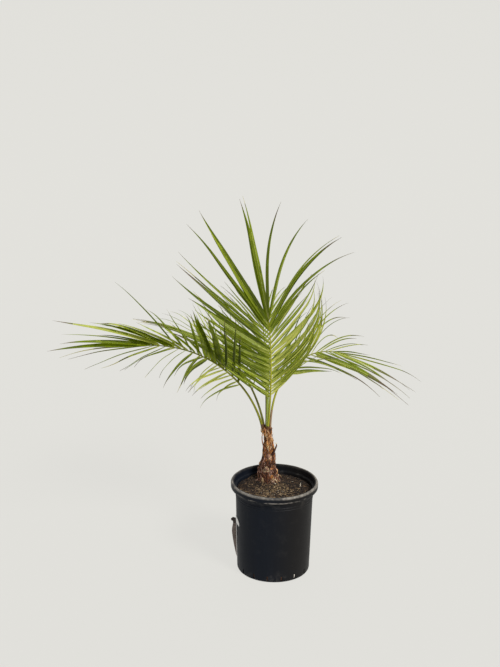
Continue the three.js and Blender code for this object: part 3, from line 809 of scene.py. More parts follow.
def pot_profile():
    """The pot's section from the middle of its underside, up, over the rim and in to its floor."""
    rim = POT_RIM_RADIUS
    top = POT_HEIGHT
    inner = POT_NECK_RADIUS - POT_WALL
    wall = [(wall_radius(height), height) for height in WALL_HEIGHTS]
    rings = [(wall_radius(ring + off) + stand, ring + off) for ring in FINE_RINGS
             for off, stand in ((-1, 0), (0, FINE_RING_STAND), (1, 0))]
    return (
        (0, 0),
        (POT_FOOT_RADIUS - FOOT_CHAMFER - 8, 0),
        (POT_FOOT_RADIUS - FOOT_CHAMFER, 0),
        (POT_FOOT_RADIUS - FOOT_CHAMFER / 3, FOOT_CHAMFER / 3),
        (POT_FOOT_RADIUS - 0.3, FOOT_CHAMFER - 1),
        (POT_FOOT_RADIUS, FOOT_CHAMFER + 1),
        *wall,
        *rings,
        (POT_NECK_RADIUS - 0.1, POT_NECK_HEIGHT - 3),
        (POT_NECK_RADIUS + 0.4, POT_NECK_HEIGHT),
        (POT_NECK_RADIUS + NECK_BEAD - 0.4, POT_NECK_HEIGHT + 2.5),
        (POT_NECK_RADIUS + NECK_BEAD, POT_NECK_HEIGHT + 6),
        (rim - RIM_INSET, top - RIM_DEPTH - 2),
        (rim - RIM_INSET, top - 4),
        (rim - RIM_BAND, top - 4),
        (rim - RIM_BAND, top - RIM_DEPTH),
        (rim - RIM_BAND + 0.5, top - RIM_DEPTH - 0.4),
        (rim - 0.9, top - RIM_DEPTH - 0.2),
        (rim - 0.4, top - RIM_DEPTH + 0.6),
        (rim - 0.1, top - 8),
        (rim, top - 6),
        (rim - 0.2, top - 3.6),
        (rim - 1, top - 1.8),
        (rim - 1.9, top - 0.7),
        (rim - 3, top),
        (rim - 6.4, top),
        (rim - 7.6, top - 0.8),
        (rim - RIM_STEP + 0.6, top - 3.2),
        (rim - RIM_STEP, top - 14),
        (rim - RIM_STEP - 0.6, top - 15.5),
        (inner + 0.7, top - 17.5),
        (inner, top - 19.5),
        (inner - 0.2, POT_NECK_HEIGHT),
        (POT_FOOT_RADIUS - POT_WALL, 8),
        (POT_FOOT_RADIUS - POT_WALL - 2, POT_FLOOR),
        (0, POT_FLOOR),
    )


def turned(profile, sides, first):
    """A profile of radius and height turned about the upright axis."""
    angles = first + ring_angles(sides)
    radii, heights = np.array(profile, float).T
    grid = np.empty((len(profile), sides, 3))
    grid[..., 0] = radii[:, None] * np.cos(angles)
    grid[..., 1] = radii[:, None] * np.sin(angles)
    grid[..., 2] = heights[:, None]
    return grid


def cut_slots(pot):
    """Cuts the drain slots through the foot of the pot."""
    cutter = bmesh.new()
    for i in range(SLOT_COUNT):
        angle = math.radians(SLOT_FIRST_ANGLE + 360 / SLOT_COUNT * i)
        turn = Matrix.Rotation(angle, 4, "Z")
        place = Matrix.Translation([value * MM for value in SLOT_CENTRE])
        size = Matrix.Diagonal([value * MM for value in SLOT_SIZE] + [1])
        bmesh.ops.create_cube(cutter, size=1, matrix=turn @ place @ size)
    mesh = bpy.data.meshes.new("slot_cutter")
    cutter.to_mesh(mesh)
    cutter.free()
    block = new_object("slot_cutter", mesh)
    cut = pot.modifiers.new("slots", "BOOLEAN")
    cut.operation = "DIFFERENCE"
    cut.solver = "EXACT"
    cut.object = block
    bpy.context.view_layer.update()
    solid = pot.evaluated_get(bpy.context.evaluated_depsgraph_get())
    done = bpy.data.meshes.new_from_object(solid)
    pot.modifiers.remove(cut)
    pot.data = done
    bpy.data.objects.remove(block)
    done.set_sharp_from_angle(angle=math.radians(POT_SHARP_ANGLE))


def pot_plastic(color):
    """Black moulded plastic, dusty at foot and neck. Its lip is painted pale grey as wear plus a
    painted highlight, and its right side is painted a lighter, warmer grey as painted light.
    """
    finish = Finish("pot_plastic", gloss=0.1)
    place = finish.place()
    across, deep, height = finish.split(place)
    outside = across * across + deep * deep > (LIP_RADIUS * MM) ** 2
    dust = finish.cloud(place, 38.0, 6.0, 0.7)
    streaks = finish.cloud(finish.stretched(place, (60, 60, 4)), 1.0, 3.0)
    marks = finish.cloud(finish.stretched(place, (1, 1, 2.5)), 30.0, 5.0, 0.65)
    foot = 1 - finish.smooth(height, 0.0, 0.035)
    neck = finish.smooth(height, 0.204, 0.231) * (height < 0.232)
    edge = finish.smooth(height, 0.2312, 0.2322) * (1 - finish.smooth(height, 0.234, 0.2365))
    # The lip is painted pale grey: partly wear, partly a painted highlight of the sky on its top
    lip = finish.smooth(height, 0.2412, 0.2466) * (0.15 + 0.85 * outside)
    dusty = finish.smooth(dust + 0.25 * streaks, 0.62, 0.95)
    wear_and_sheen = finish.smooth(dust, 0.34, 0.66)
    scraped = finish.smooth(marks, 0.46, 0.6) * outside
    share = (dusty * (0.14 * foot + 0.12 * neck + 0.02) + lip * (0.16 + 0.56 * wear_and_sheen)
             + scraped * edge * 0.55)
    tint = finish.blend(streaks, color, shaded(color, 1.3))
    # Painted light: the pot's right side is painted a lighter, warmer grey, where the key lamp falls
    tint = finish.blend(finish.smooth(across, -0.04, 0.07), tint, (21, 20, 20))
    finish.set("Base Color", finish.blend(share, tint, (158, 152, 143)))
    finish.set("Roughness", 0.4 + 0.2 * dust + 0.2 * share)
    finish.relief(finish.cloud(place, 260.0, 3.0), 0.12, 0.0006)
    return finish.material


def soil_height(x, y):
    """The top of the soil: level at the wall, mounded at the trunk, lumpy between."""
    distance = math.hypot(x - CROWN[0], y - CROWN[1])
    mound = SOIL_MOUND * math.exp(-((distance / SOIL_MOUND_SPREAD) ** 2))
    lumps = 2.6 * noise.noise(Vector((x * 0.045, y * 0.045, 3.1)))
    crumbs = 1.5 * noise.noise(Vector((x * 0.17, y * 0.17, 7.7)))
    grains = 0.9 * noise.noise(Vector((x * 0.42, y * 0.42, 1.3)))
    return SOIL_EDGE_HEIGHT + mound + lumps + crumbs + grains


def soil_bed(sheets):
    """The soil's body: its lumpy top, the side along the pot's wall and the underside."""
    sides, rings = 128, 44
    angles = ring_angles(sides)
    grid = np.empty((rings + 3, sides, 3))
    for i in range(rings):
        radius = SOIL_EDGE_RADIUS * (1 - (i / (rings - 1))) ** 0.8
        for j, angle in enumerate(angles):
            x, y = radius * math.cos(angle), radius * math.sin(angle)
            grid[i + 3, j] = (x, y, soil_height(x, y))
    foot = POT_FOOT_RADIUS - POT_WALL - SOIL_GAP
    low = POT_FLOOR + SOIL_GAP
    grid[:3] = turned(((0, low), (foot - 2.4, low), (foot, 8.6)), sides, 0)
    sheets.add(grid, 0, closed=True)


def soil_spot(draws, number):
    """A place on the soil for a crumb or shred, from two draws."""
    angle = math.pi * draws.spread(number)
    radius = (SOIL_EDGE_RADIUS - 2) * math.sqrt(draws.share(number + 1))
    return radius * math.cos(angle), radius * math.sin(angle)


def edge_share(x, y):
    """0 in the middle of the litter, in front of the trunk, and 1 by the pot's wall."""
    return min(1.0, math.hypot(x, y - LITTER_MIDDLE) / SOIL_EDGE_RADIUS) ** 2


def crumb(center, size, draws):
    """An angular crumb of bark: a squashed ball of three rings."""
    sides = 6
    grid = np.empty((len(CRUMB_RINGS), sides, 3))
    flat = 0.45 + 0.25 * draws.spread(7)
    spin = math.pi * draws.spread(8)
    for i, (share, rise) in enumerate(CRUMB_RINGS):
        for j in range(sides):
            angle = spin + 2 * math.pi * j / sides
            uneven = 1 + 0.35 * scatter(CRUMB_SEED + 9 + i, draws.index * sides + j)
            grid[i, j] = (
                center[0] + size * share * uneven * math.cos(angle) * CRUMB_LENGTH,
                center[1] + size * share * uneven * math.sin(angle) * CRUMB_WIDTH,
                center[2] + size * flat * rise * (uneven if share else 1),
            )
    return grid


def soil_crumbs(sheets, count):
    """Crumbs of bark and peat, with a few pale ones."""
    for i in range(count):
        draws = Draws(CRUMB_SEED, i)
        x, y = soil_spot(draws, 1)
        size = 0.9 + 2.1 * draws.share(3) ** 3
        pick = draws.spread(4) - 0.9 * edge_share(x, y)
        slot = CRUMB_BLACK if pick < 0.05 else CRUMB_BROWN if pick < 0.68 else CRUMB_TAN
        if draws.spread(4) > 0.982:
            slot = CRUMB_PALE
            size *= 0.8
        height = soil_height(x, y) + 0.25 * size
        sheets.add(crumb((x, y, height), size, draws), slot, closed=True)


def shred_course(x, y, angle, draws):
    """The points of a shred that lies on the soil round a spot, kept inside the pot."""
    length = 5 + 8 * draws.share(6)
    bend = 0.6 * draws.spread(7)
    points = []
    for step in np.linspace(-0.5, 0.5, len(SHRED_TAPER)):
        turn = angle + bend * step
        px = x + length * step * math.cos(turn)
        py = y + length * step * math.sin(turn)
        away = math.hypot(px, py)
        if away > SOIL_EDGE_RADIUS - 1:
            px *= (SOIL_EDGE_RADIUS - 1) / away
            py *= (SOIL_EDGE_RADIUS - 1) / away
        lift = 0.5 + 1.6 * draws.share(8) * (0.5 + step)
        points.append((px, py, soil_height(px, py) + lift))
    return points


def soil_shreds(sheets, count):
    """Loose fibres and shreds all over the soil, a third of them in a fan before the trunk."""
    for i in range(count):
        draws = Draws(SHRED_SEED, i)
        in_fan = i % 3 == 0
        if in_fan:
            away = FAN_NEAR + FAN_DEPTH * draws.share(1)
            angle = math.radians(FAN_AZIMUTH + FAN_SPREAD * draws.spread(2))
            x, y = CROWN[0] + away * math.cos(angle), CROWN[1] + away * math.sin(angle)
        else:
            x, y = soil_spot(draws, 3)
            angle = math.pi * draws.spread(5)
        thick = 0.24 + 0.22 * draws.share(9)
        pick = draws.spread(10) - 1.3 * edge_share(x, y) + (0.3 if in_fan else 0.1)
        slot = SHRED_BROWN if pick < -0.1 else SHRED_TAN if pick < 1.1 else CRUMB_PALE
        sheets.add_strand(shred_course(x, y, angle, draws), thick * SHRED_TAPER, slot)
    sheets.add_line(PALE_FLAKE, CRUMB_PALE)


def trunk_at(height):
    """The trunk's centre and radius at a height."""
    x = np.interp(height, TRUNK_HEIGHTS, TRUNK_X)
    y = np.interp(height, TRUNK_HEIGHTS, TRUNK_Y)
    return x, y, np.interp(height, TRUNK_HEIGHTS, TRUNK_RADII)


def bark_stand(height, angle):
    """How far the bark stands out of the plain trunk: lumps, sheath edges and matted fibre."""
    turn = Vector((math.cos(angle), math.sin(angle), 0))
    lumps = noise.noise(turn * 1.6 + Vector((0, 0, height * 0.03)))
    ridges = noise.noise(turn * 9 + Vector((0, 0, height * 0.02 + 0.35 * angle)))
    matting = noise.noise(turn * 22 + Vector((3, 1, height * 0.12)))
    spiral = (height - SHEATH_START) / SHEATH_RISE + angle / (2 * math.pi) * 2
    edge = spiral - math.floor(spiral)
    rising = edge < SHEATH_EDGE
    sheath = SHEATH_STAND * (edge if rising else (1 - edge) / (1 - SHEATH_EDGE))
    fade = min(1.0, max(0.0, (height - BARK_START) / BARK_FADE))
    return fade * (1.4 * lumps + 1.3 * ridges + 1.2 * matting + sheath - BARK_DEPTH)


def trunk_core(sheets):
    """The trunk's body with the relief of its bark."""
    sides, rows = 120, 190
    heights = np.linspace(TRUNK_HEIGHTS[0], TRUNK_HEIGHTS[-1] + 2, rows)
    grid = np.empty((rows + 2, sides, 3))
    for i, height in enumerate(heights):
        for j, angle in enumerate(ring_angles(sides)):
            grid[i + 1, j] = on_trunk(height, angle, 0)
    grid[0] = (TRUNK_X[0], TRUNK_Y[0], heights[0])
    grid[-1] = (TRUNK_X[-1], TRUNK_Y[-1], heights[-1] + 3)
    sheets.add(grid, 0, closed=True)


def on_trunk(height, angle, off):
    """A point off the bark at a height and angle."""
    x, y, radius = trunk_at(height)
    out = radius + bark_stand(height, angle) + off
    return np.array([x + out * math.cos(angle), y + out * math.sin(angle), height])


def leaf_base(sheets, height, angle, length, spread, stand, tones, number):
    """An old leaf base: a scale that hugs the trunk at its foot and leans off at its torn tip."""
    rows, columns = 10, 9
    seed = BASE_SEED + number
    outer = np.empty((rows, columns, 3))
    for i in range(rows):
        t = i / (rows - 1)
        half = spread * (1 - t) ** 0.6 * (1 + 0.12 * scatter(seed + 3, i)) + 0.02
        for j in range(columns):
            across = 2 * j / (columns - 1) - 1
            ragged = 2.6 * scatter(seed + 2, j) * t
            off = 0.3 + stand * t ** 2 + 1.0 * (1 - across ** 2) * (1 - t)
            off += 0.5 * scatter(seed + 4, i * columns + j)
            outer[i, j] = on_trunk(height + length * t + ragged, angle + half * across, off)
    x, y, _ = trunk_at(height)
    inward = unit(np.array([x, y, 0]) - outer * (1, 1, 0))
    inner = outer + inward * LEAF_BASE_THICKNESS
    shell = np.concatenate([outer, inner[:, ::-1]], axis=1)
    picks = as_share(np.array([[scatter(seed + 5 + i, j) for j in range(columns * 2)]
                               for i in range(rows - 1)]))
    slots = np.where(picks < 0.3, tones[0], np.where(picks < 0.75, tones[1], tones[2]))
    sheets.add(shell, slots, closed=True)


def leaf_bases(sheets):
    """The spiral of old leaf bases up the trunk."""
    tones = ((DARK, BROWN, GREY), (BROWN, ORANGE, STRAW), (DARK, BROWN, ORANGE),
             (BROWN, GREY, STRAW))
    for i in range(LEAF_BASES):
        draws = Draws(BASE_SEED, i)
        level = mix(LEAF_BASE_LOWEST, LEAF_BASE_HIGHEST, i / (LEAF_BASES - 1))
        height = level + 3 * draws.spread(6)
        angle = math.radians(GOLDEN_ANGLE * i + LEAF_BASE_TURN)
        length = 15 + 5 * draws.spread(7)
        spread = 0.42 + 0.14 * draws.spread(1)
        stand = 1.6 + 1.2 * draws.spread(8)
        leaf_base(sheets, height, angle, length, spread, stand, tones[i % len(tones)], i)


def foot_bases(sheets):
    """The torn stubs and small scales round the trunk's foot."""
    for i, (height, azimuth, length, spread, stand) in enumerate(FOOT_STUBS):
        tones = (BROWN, STRAW, STRAW) if i in PALE_STUBS else (BROWN, DARK, GREY)
        angle = math.radians(azimuth)
        leaf_base(sheets, height, angle, length, spread, stand, tones, FIRST_STUB + i)
    tones = ((DARK, BROWN, BROWN), (DARK, DARK, GREY), (BROWN, GREY, STRAW), (BROWN, DARK, STRAW))
    for i in range(FOOT_BASES):
        draws = Draws(FOOT_BASE_SEED, i)
        height = 228 + 11 * draws.spread(1)
        angle = math.radians(-80 + 125 * draws.spread(2))
        length = 15 + 6 * draws.spread(3)
        spread = 0.13 + 0.05 * draws.spread(4)
        stand = 2.2 + 1.8 * draws.spread(5)
        pick = tones[i % len(tones)]
        leaf_base(sheets, height, angle, length, spread, stand, pick, FIRST_FOOT_BASE + i)


def bark_fibres(sheets, count):
    """Matted fibres wound up and down the trunk, some with a loose end."""
    for i in range(count):
        draws = Draws(FIBRE_SEED, i)
        height = mix(FIBRE_LOWEST, FIBRE_HIGHEST, draws.share(1))
        angle = math.pi * draws.spread(2)
        length = 16 + 16 * draws.share(3)
        lean = 0.9 * draws.spread(4)
        loose = max(0.0, draws.spread(5) - 0.5) * 8
        points = []
        for step in np.linspace(0, 1, len(FIBRE_TAPER)):
            level = min(FIBRE_TOP, height + length * step)
            turn = angle + lean * length * step / (trunk_at(level)[2] + 6)
            points.append(on_trunk(level, turn, 0.3 + loose * step ** 2))
        thick = 0.28 + 0.45 * draws.share(6) ** 2
        slot = fibre_tone(draws.share(7), height, angle)
        sheets.add_strand(points, thick * FIBRE_TAPER, slot, turn=i)


def bent_line(start, middle, end):
    """Five points from start to end by way of the middle."""
    return [start, (start + middle) / 2, middle, (middle + end) / 2, end]


def foot_fibres(sheets):
    """Short roots and fibres that run from the trunk's foot out over the soil."""
    tones = (DARK, BROWN, DARK, GREY, BROWN, STRAW)
    for i in range(FOOT_FIBRES):
        draws = Draws(FOOT_FIBRE_SEED, i)
        angle = math.radians(-80 + 140 * draws.spread(1))
        start = on_trunk(230 + 8 * draws.spread(2), angle, 0.4)
        turn = angle + 0.5 * draws.spread(3)
        away = start[:2] + (7 + 5 * draws.spread(4)) * polar(turn)[:2]
        end = np.array([away[0], away[1], soil_height(*away) + 0.6])
        middle = (start + end) / 2 + np.array([0, 0, 1.5 + 2 * draws.spread(5)])
        points = bent_line(start, middle, end)
        points[3] = points[3] - (0, 0, 0.6)
        thick = 0.55 + 0.3 * draws.spread(6)
        sheets.add_strand(points, thick * FOOT_TAPER, tones[i % len(tones)])


def fibre_tone(pick, height, angle):
    """Browner low down; at mid height orange on the side the key lamp lights, painted light over
    real orange fibre; greyer and pinker elsewhere.
    """
    # Painted light: fibres on the side that faces the key lamp are made orange
    sunny = math.cos(angle + 0.5)
    if 280 < height < 352 and sunny > -0.2 and pick < 0.6:
        return ORANGE
    if height > 300 and pick > 0.8:
        return STRAW
    if pick < (0.25 if height > 270 else 0.52):
        return DARK
    return BROWN if pick < 0.74 else GREY


def loose_pieces(sheets):
    """The torn pieces that stand off the trunk: a tuft, a hanging strip and a hooked base."""
    for i in range(TUFT_FIBRES):
        draws = Draws(TUFT_SEED, i)
        angle = math.radians(205 + 34 * draws.spread(2))
        start = on_trunk(357 + 4 * draws.spread(1), angle, 0)
        tip = start + np.array([
            -6 - 4 * draws.spread(3), -1 + 3 * draws.spread(4), 9 + 7 * draws.spread(5)])
        middle = (start + tip) / 2 + np.array([-2.4, 0, -1.5 + 3 * draws.spread(6)])
        points = bent_line(start, middle, tip)
        sheets.add_strand(points, [0.5, 0.7, 0.6, 0.5, 0.2], STRAW if i % 3 else ORANGE)
    sheets.add_line(HANGING_STRIP, BROWN, 5)
    sheets.add_line(HOOKED_BASE, np.array([DARK, DARK, DARK, DARK, BROWN, STRAW])[:, None], 6)


def rib_course(frond):
    """The rib's points, with the frame at each: along it, to its right and up off its face."""
    first, last, power = frond["lean"]
    def lean(s):
        return np.radians(mix(first, last, s ** power))
    def turn(s):
        return np.radians(frond["azimuth"] + frond["sway"] * s)
    def heading(s):
        level = np.sin(lean(s))
        return np.stack([level * np.cos(turn(s)), level * np.sin(turn(s)), np.cos(lean(s))], -1)
    s = np.arange(RIB_STEPS + 1) / RIB_STEPS
    middle = (np.arange(RIB_STEPS) + 0.5) / RIB_STEPS
    start = CROWN + frond["offset"] * polar(turn(0.0))
    steps = heading(middle) * frond["length"] / RIB_STEPS
    points = np.vstack([start, start + np.cumsum(steps, axis=0)])
    along = heading(s)
    level = np.stack([np.cos(turn(s)), np.sin(turn(s)), 0 * s], -1)
    flat_up = -np.cos(lean(s))[:, None] * level + np.sin(lean(s))[:, None] * UP
    flat_right = np.cross(along, flat_up)
    roll = np.radians(mix(frond["roll"][0], frond["roll"][1], s))[:, None]
    return {
        "point": points,
        "along": along,
        "right": flat_right * np.cos(roll) - flat_up * np.sin(roll),
        "up": flat_up * np.cos(roll) + flat_right * np.sin(roll),
    }


def along_course(course, key, s):
    """A value of the rib's course at share s of its length."""
    place = min(max(s, 0.0), 1.0) * RIB_STEPS
    i = min(int(place), RIB_STEPS - 1)
    value = mix(course[key][i], course[key][i + 1], place - i)
    return value if key == "point" else unit(value)


def rib_frame(course, s):
    """The rib's point at share s of its length, with the frame there."""
    return [along_course(course, key, s) for key in ("point", "along", "right", "up")]


def rib_radius(frond, s):
    """The rib's radius at share s of its length: it narrows along the stalk, then faster."""
    if s < frond["petiole"]:
        return mix(RIB_FOOT_RADIUS, RIB_NECK_RADIUS, s / frond["petiole"])
    return mix(RIB_NECK_RADIUS, RIB_TIP_RADIUS, (s - frond["petiole"]) / (1 - frond["petiole"]))


def make_rib(sheets, frond, course):
    """The rib: round below, grooved above along its stalk, widened to a clasping foot."""
    rows, sides = 60, 14
    grid = np.empty((rows + 3, sides, 3))
    tones = np.zeros((rows + 3, 1), int)
    for i in range(rows + 1):
        s = i / rows
        point, _, right, up = rib_frame(course, s)
        clasp = max(0.0, 1 - s / CLASP_REACH) ** 2
        radius = RIB_SLIMNESS * rib_radius(frond, s)
        groove = 0.5 * max(0.0, 1 - s / (frond["petiole"] * 1.5))
        for j, angle in enumerate(ring_angles(sides)):
            hollow = 1 - groove * max(0.0, math.sin(angle)) ** 6
            wide = radius * (1 + CLASP_SPREAD * clasp)
            grid[i + 1, j] = (point + right * wide * math.cos(angle)
                              + up * radius * hollow * math.sin(angle))
        tone = mix(*frond["rib_tone"], min(1.0, s / frond["petiole"]))
        if s > BROWN_FOOT + 0.01 * scatter(frond["seed"], i) or tone > RIB_YELLOW:
            tones[i + 2] = round(tone)
    grid[0] = grid[1] - along_course(course, "along", 0) * RIB_SOCKET
    grid[-1] = course["point"][-1]
    sheets.add(np.concatenate([cap(grid[0]), grid]), tones, closed=True)


class Leaflet(Draws):
    """Leaflet k of a frond, counted from the stalk, on its right (hand 1) or left (hand -1).

    A k that isn't a whole number is one of the narrower leaflets between the others.
    """

    def __init__(self, frond, k, hand):
        super().__init__(frond["seed"], 2 * k + (0 if hand > 0 else 1))
        self.frond = frond
        self.k = k
        self.hand = hand
        self.sizes = frond["right" if hand > 0 else "left"]
        self.place = k / (frond["pairs"] - 1)

    def stray(self, trait):
        """A fixed number between -1 and 1 for one of its traits."""
        return self.spread(STRAY_SEED[trait])

    def wander(self, trait):
        """How far one of its sizes strays from its side's."""
        return STRAY[trait] * self.stray(trait)

    def station(self, key):
        """A size of its side of the frond, read at its place along the rib."""
        return float(np.interp(self.place, LEAFLET_STATIONS, self.sizes[key]))


def leaflet_course(leaf, course):
    """The course of a leaflet's midrib, with the blade's cross direction and its normal."""
    hand = leaf.hand
    frond = leaf.frond
    loose = leaf.sizes["loose"]
    between = leaf.sizes["between"].get(leaf.k, (0, 0, 1))
    odd_angle, odd_lift, odd_reach = leaf.sizes["odd"].get(leaf.k, between)
    odd_angle += loose * leaf.stray("loose_angle")
    odd_lift += loose * leaf.stray("loose_lift")
    stagger = LEAFLET_STAGGER / frond["pairs"] * (1 - leaf.place) if hand < 0 else 0
    s = mix(frond["petiole"], 1, 1 - (1 - leaf.place - stagger) ** LEAFLET_CROWDING)
    point, along, right, up = rib_frame(course, s)
    angle = math.radians(leaf.station("angle") + odd_angle + leaf.wander("angle"))
    lift = math.radians(leaf.station("lift") + odd_lift + leaf.wander("lift"))
    reach = leaf.station("reach") * odd_reach * (1 + leaf.wander("reach"))
    droop = leaf.station("droop") * (1 + leaf.wander("droop"))
    start = (math.cos(angle) * along
             + math.sin(angle) * (math.cos(lift) * hand * right + math.sin(lift) * up))
    def heading(t):
        t = t[:, None]
        return unit(start + leaf.station("curl") * t * along - droop * t ** 2 * UP
                    - leaf.station("hook") * t ** 2 * hand * right)
    t = np.arange(LEAFLET_STEPS + 1) / LEAFLET_STEPS
    middle = (np.arange(LEAFLET_STEPS) + 0.5) / LEAFLET_STEPS
    steps = heading(middle) * reach / LEAFLET_STEPS
    points = point + np.vstack([0 * point, np.cumsum(steps, axis=0)])
    in_blade = unit(along - along.dot(start) * start)
    off_blade = unit(np.cross(start, in_blade) * hand)
    tilt = math.radians(LEAFLET_TILT)
    cross = math.cos(tilt) * in_blade + math.sin(tilt) * off_blade
    headings = heading(t)
    across = unit(cross - (headings @ cross)[:, None] * headings)
    normal = np.cross(headings, across) * hand
    fullness = min(1.0, mix(LEAFLET_NARROWEST, 1, reach / LEAFLET_FULL_REACH))
    return t, points, across, normal, fullness * (1 + leaf.wander("width"))


def leaflet_tones(leaf, t):
    """The number of the finish of each face of a leaflet: two halves with the midrib between, one
    half painted lighter and the other darker as painted light and shade across the fold.
    """
    tone = leaf.station("tone") + TONE_SCATTER * leaf.stray("tone")
    # Painted shade: leaflets between the pairs lie behind the others and take the low tone given
    # under behind
    if leaf.k % 1:
        tone = leaf.sizes.get("behind", tone)
    tone = leaf.sizes["shade"].get(leaf.k, tone)
    # Painted light and shade: one half of the fold is painted lighter and the other darker
    lit = 0.6 + 0.4 * leaf.stray("lit")
    if leaf.stray("lit_half") < -0.2:
        lit = -lit
    dry = as_share(leaf.stray("dry")) < leaf.sizes["dry"]
    dry_run = DRY_RUN + DRY_RUN_SCATTER * as_share(leaf.stray("dry_run")) if dry else DRY_TIP
    dry_from = 1 - dry_run * mix(*leaf.sizes["dry_run"], leaf.place)
    midrib = FIRST_MIDRIB + (1 if tone > PALE_MIDRIB_TONE else 0)
    slots = np.empty((len(t) - 1, 6), int)
    for i, place in enumerate((t[1:] + t[:-1]) / 2):
        base = tone + LEAF_FOOT_PALENESS * max(0.0, 1 - place / LEAF_FOOT)
        base += 0.3 * scatter(leaf.seed + STRAY_SEED["mottle"], leaf.index * 40 + i // 2)
        halves = (base - lit, base - 0.8 * lit, base + 0.8 * lit, base + lit)
        greens = [int(min(FIRST_TIP - 1, max(0, round(half)))) for half in halves]
        slots[i] = (greens[0], greens[1], midrib, midrib, greens[2], greens[3])
        if place > dry_from:
            past = (place - dry_from) / (1 - dry_from)
            kind = 0 if past < OLIVE_SHARE else 1 if tone < 1 else 1 + (leaf.index + leaf.seed) % 3
            slots[i] = FIRST_TIP + kind
        elif place > MIDRIB_END:
            slots[i, 2:4] = greens[2]
    return slots


def make_leaflet(sheets, leaf, course, width, fold):
    """One leaflet: two halves folded along a raised midrib, drawn out to a long fine tip."""
    t, points, across, normal, fullness = leaflet_course(leaf, course)
    outline = BLADE_SWELL * (t + BLADE_FOOT) ** BLADE_RISE * (1 - t) ** BLADE_RUNOUT
    share = leaf.station("broad") * leaf.sizes["wide"].get(leaf.k, 1 + 0.2 * leaf.stray("broad"))
    broad = width / 2 * fullness * share
    half = np.maximum(broad * outline, TIP_HALF_WIDTH * (1 - 0.6 * t ** 20))
    wave = 0.7 * np.sin(t * 9 + 5 * leaf.stray("wave")) * t * (1 - t) * 4
    past = np.clip((t - TIP_START) / (1 - TIP_START), 0, 1) ** 2
    tip_curl = leaf.sizes["tip_curl"]
    points = points + across * (wave + tip_curl * leaf.stray("tip_aside") * past)[:, None]
    points = points + normal * (tip_curl * leaf.stray("tip_up") * past)[:, None]
    rib = np.minimum(half * 0.3, MIDRIB_HALF_WIDTH * (1 - 0.7 * t))
    keel = fold * (1 + 0.35 * leaf.stray("keel")) * half
    shoulder = half * BLADE_SHOULDER
    belly = keel * (1 - BLADE_SHOULDER) * 0.8 + keel * 0.38 * 0.15
    outs = (-half, -shoulder, -rib, 0 * rib, rib, shoulder, half)
    rises = (0 * keel, belly, keel * 0.96, keel + 0.5 * rib, keel * 0.96, belly, 0 * keel)
    grid = np.stack([points + across * out[:, None] + normal * rise[:, None]
                     for out, rise in zip(outs, rises)], axis=1)
    grid[0] = points[0] + (grid[0] - points[0]) * 0.5
    sheets.add(grid, leaflet_tones(leaf, t))


def make_spear(sheets):
    """The youngest frond, pleated and still folded, drawn out to a point."""
    rows, sides = 40, 12
    grid = np.empty((rows + 1, sides, 3))
    for i in range(rows + 1):
        s = i / rows
        belly = math.sin(math.pi * min(1.0, s * 1.1))
        radius = mix(2.6 * (1 - 0.6 * s), 4.2, belly * 0.6) * (1 - max(0.0, s - 0.8) / 0.2)
        middle = CROWN + (SPEAR_LEAN[0] * s, SPEAR_LEAN[1] * s * s, SPEAR_HEIGHT * s)
        for j in range(sides):
            angle = 2 * math.pi * j / sides + 1.2 * s
            out = radius * (1 - 0.22 * (j % 2))
            grid[i, j] = middle + (out * math.cos(angle), out * 0.6 * math.sin(angle), 0)
    sheets.add(grid, 0, closed=True)


def by_wall(turn, off, height):
    """A point off the pot's wall at an angle in radians and a height."""
    away = wall_radius(height) + off
    return away * math.cos(turn), away * math.sin(turn), height


def make_torn_strip(sheets):
    """The torn strip on the pot's left: it leans off the wall, its frayed top is darker."""
    outer = np.empty((len(STRIP_SECTIONS), STRIP_COLUMNS, 3))
    for i, (height, stand) in enumerate(STRIP_SECTIONS):
        for j in range(STRIP_COLUMNS):
            share = j / (STRIP_COLUMNS - 1)
            off = 0.5 + (stand - 0.5) * math.sin(share * math.pi / 2)
            turn = math.pi + 0.05 * (1 - share) ** 2 + 0.012 * math.sin(height * 0.2)
            outer[i, j] = by_wall(turn, off, height)
    inner = outer[:, ::-1] - (0, STRIP_THICKNESS, 0)
    shell = np.concatenate([outer, inner], axis=1)
    shell = np.concatenate([cap(shell[0]), shell, cap(shell[-1])])
    slots = np.zeros((len(shell) - 1, 1), int)
    slots[-STRIP_DARK_ROWS:] = 1
    sheets.add(shell, slots, closed=True)


def make_blank_patch(sheets):
    """The blank pale patch that lies on the pot's left, with its cut-off corners."""
    columns = []
    for azimuth, low, high in PATCH_COLUMNS:
        turn = math.radians(180 + azimuth)
        heights = (low, (low + high) / 2, high)
        columns.append([by_wall(turn, PATCH_GAP, height) for height in heights]
                       + [by_wall(turn, PATCH_OUTSIDE, height) for height in reversed(heights)])
    grid = np.array(columns, float)
    sheets.add(np.concatenate([cap(grid[0]), grid, cap(grid[-1])]), 0, closed=True)


def leaf_finish(name, color, glow):
    """Smooth leaf with fine veins along it and light passing through."""
    finish = Finish(name, color, rough=0.46, gloss=0.3)
    veins = finish.cloud(finish.stretched(finish.place("UV"), (16, 2.5, 1)), 1.0, 3.0)
    shade = finish.smooth(veins, 0.38, 0.62)
    finish.set("Base Color", finish.blend(shade, shaded(color, 0.86), shaded(color, 1.14)))
    finish.set("Roughness", 0.36 + 0.2 * veins)
    finish.relief(veins, 0.18, 0.0008)
    bright = tuple(min(255, value * factor) for value, factor in zip(color, LIT_THROUGH))
    finish.let_light_through(bright, glow)
    return finish.material


def fibre_finish(name, color):
    """Dry plant fibre, its colour broken by short pale and dark runs."""
    finish = Finish(name, rough=0.85, gloss=0.25)
    cloud = finish.cloud(finish.stretched(finish.place(), (1, 1, 0.4)), 170.0, 4.0)
    stops = ((0.34, shaded(color, 0.5)), (0.54, color), (0.76, shaded(color, 1.4)))
    finish.set("Base Color", finish.ramp(cloud, stops))
    finish.relief(finish.cloud(finish.place(), 900.0, 3.0), 0.35, 0.0005)
    return finish.material


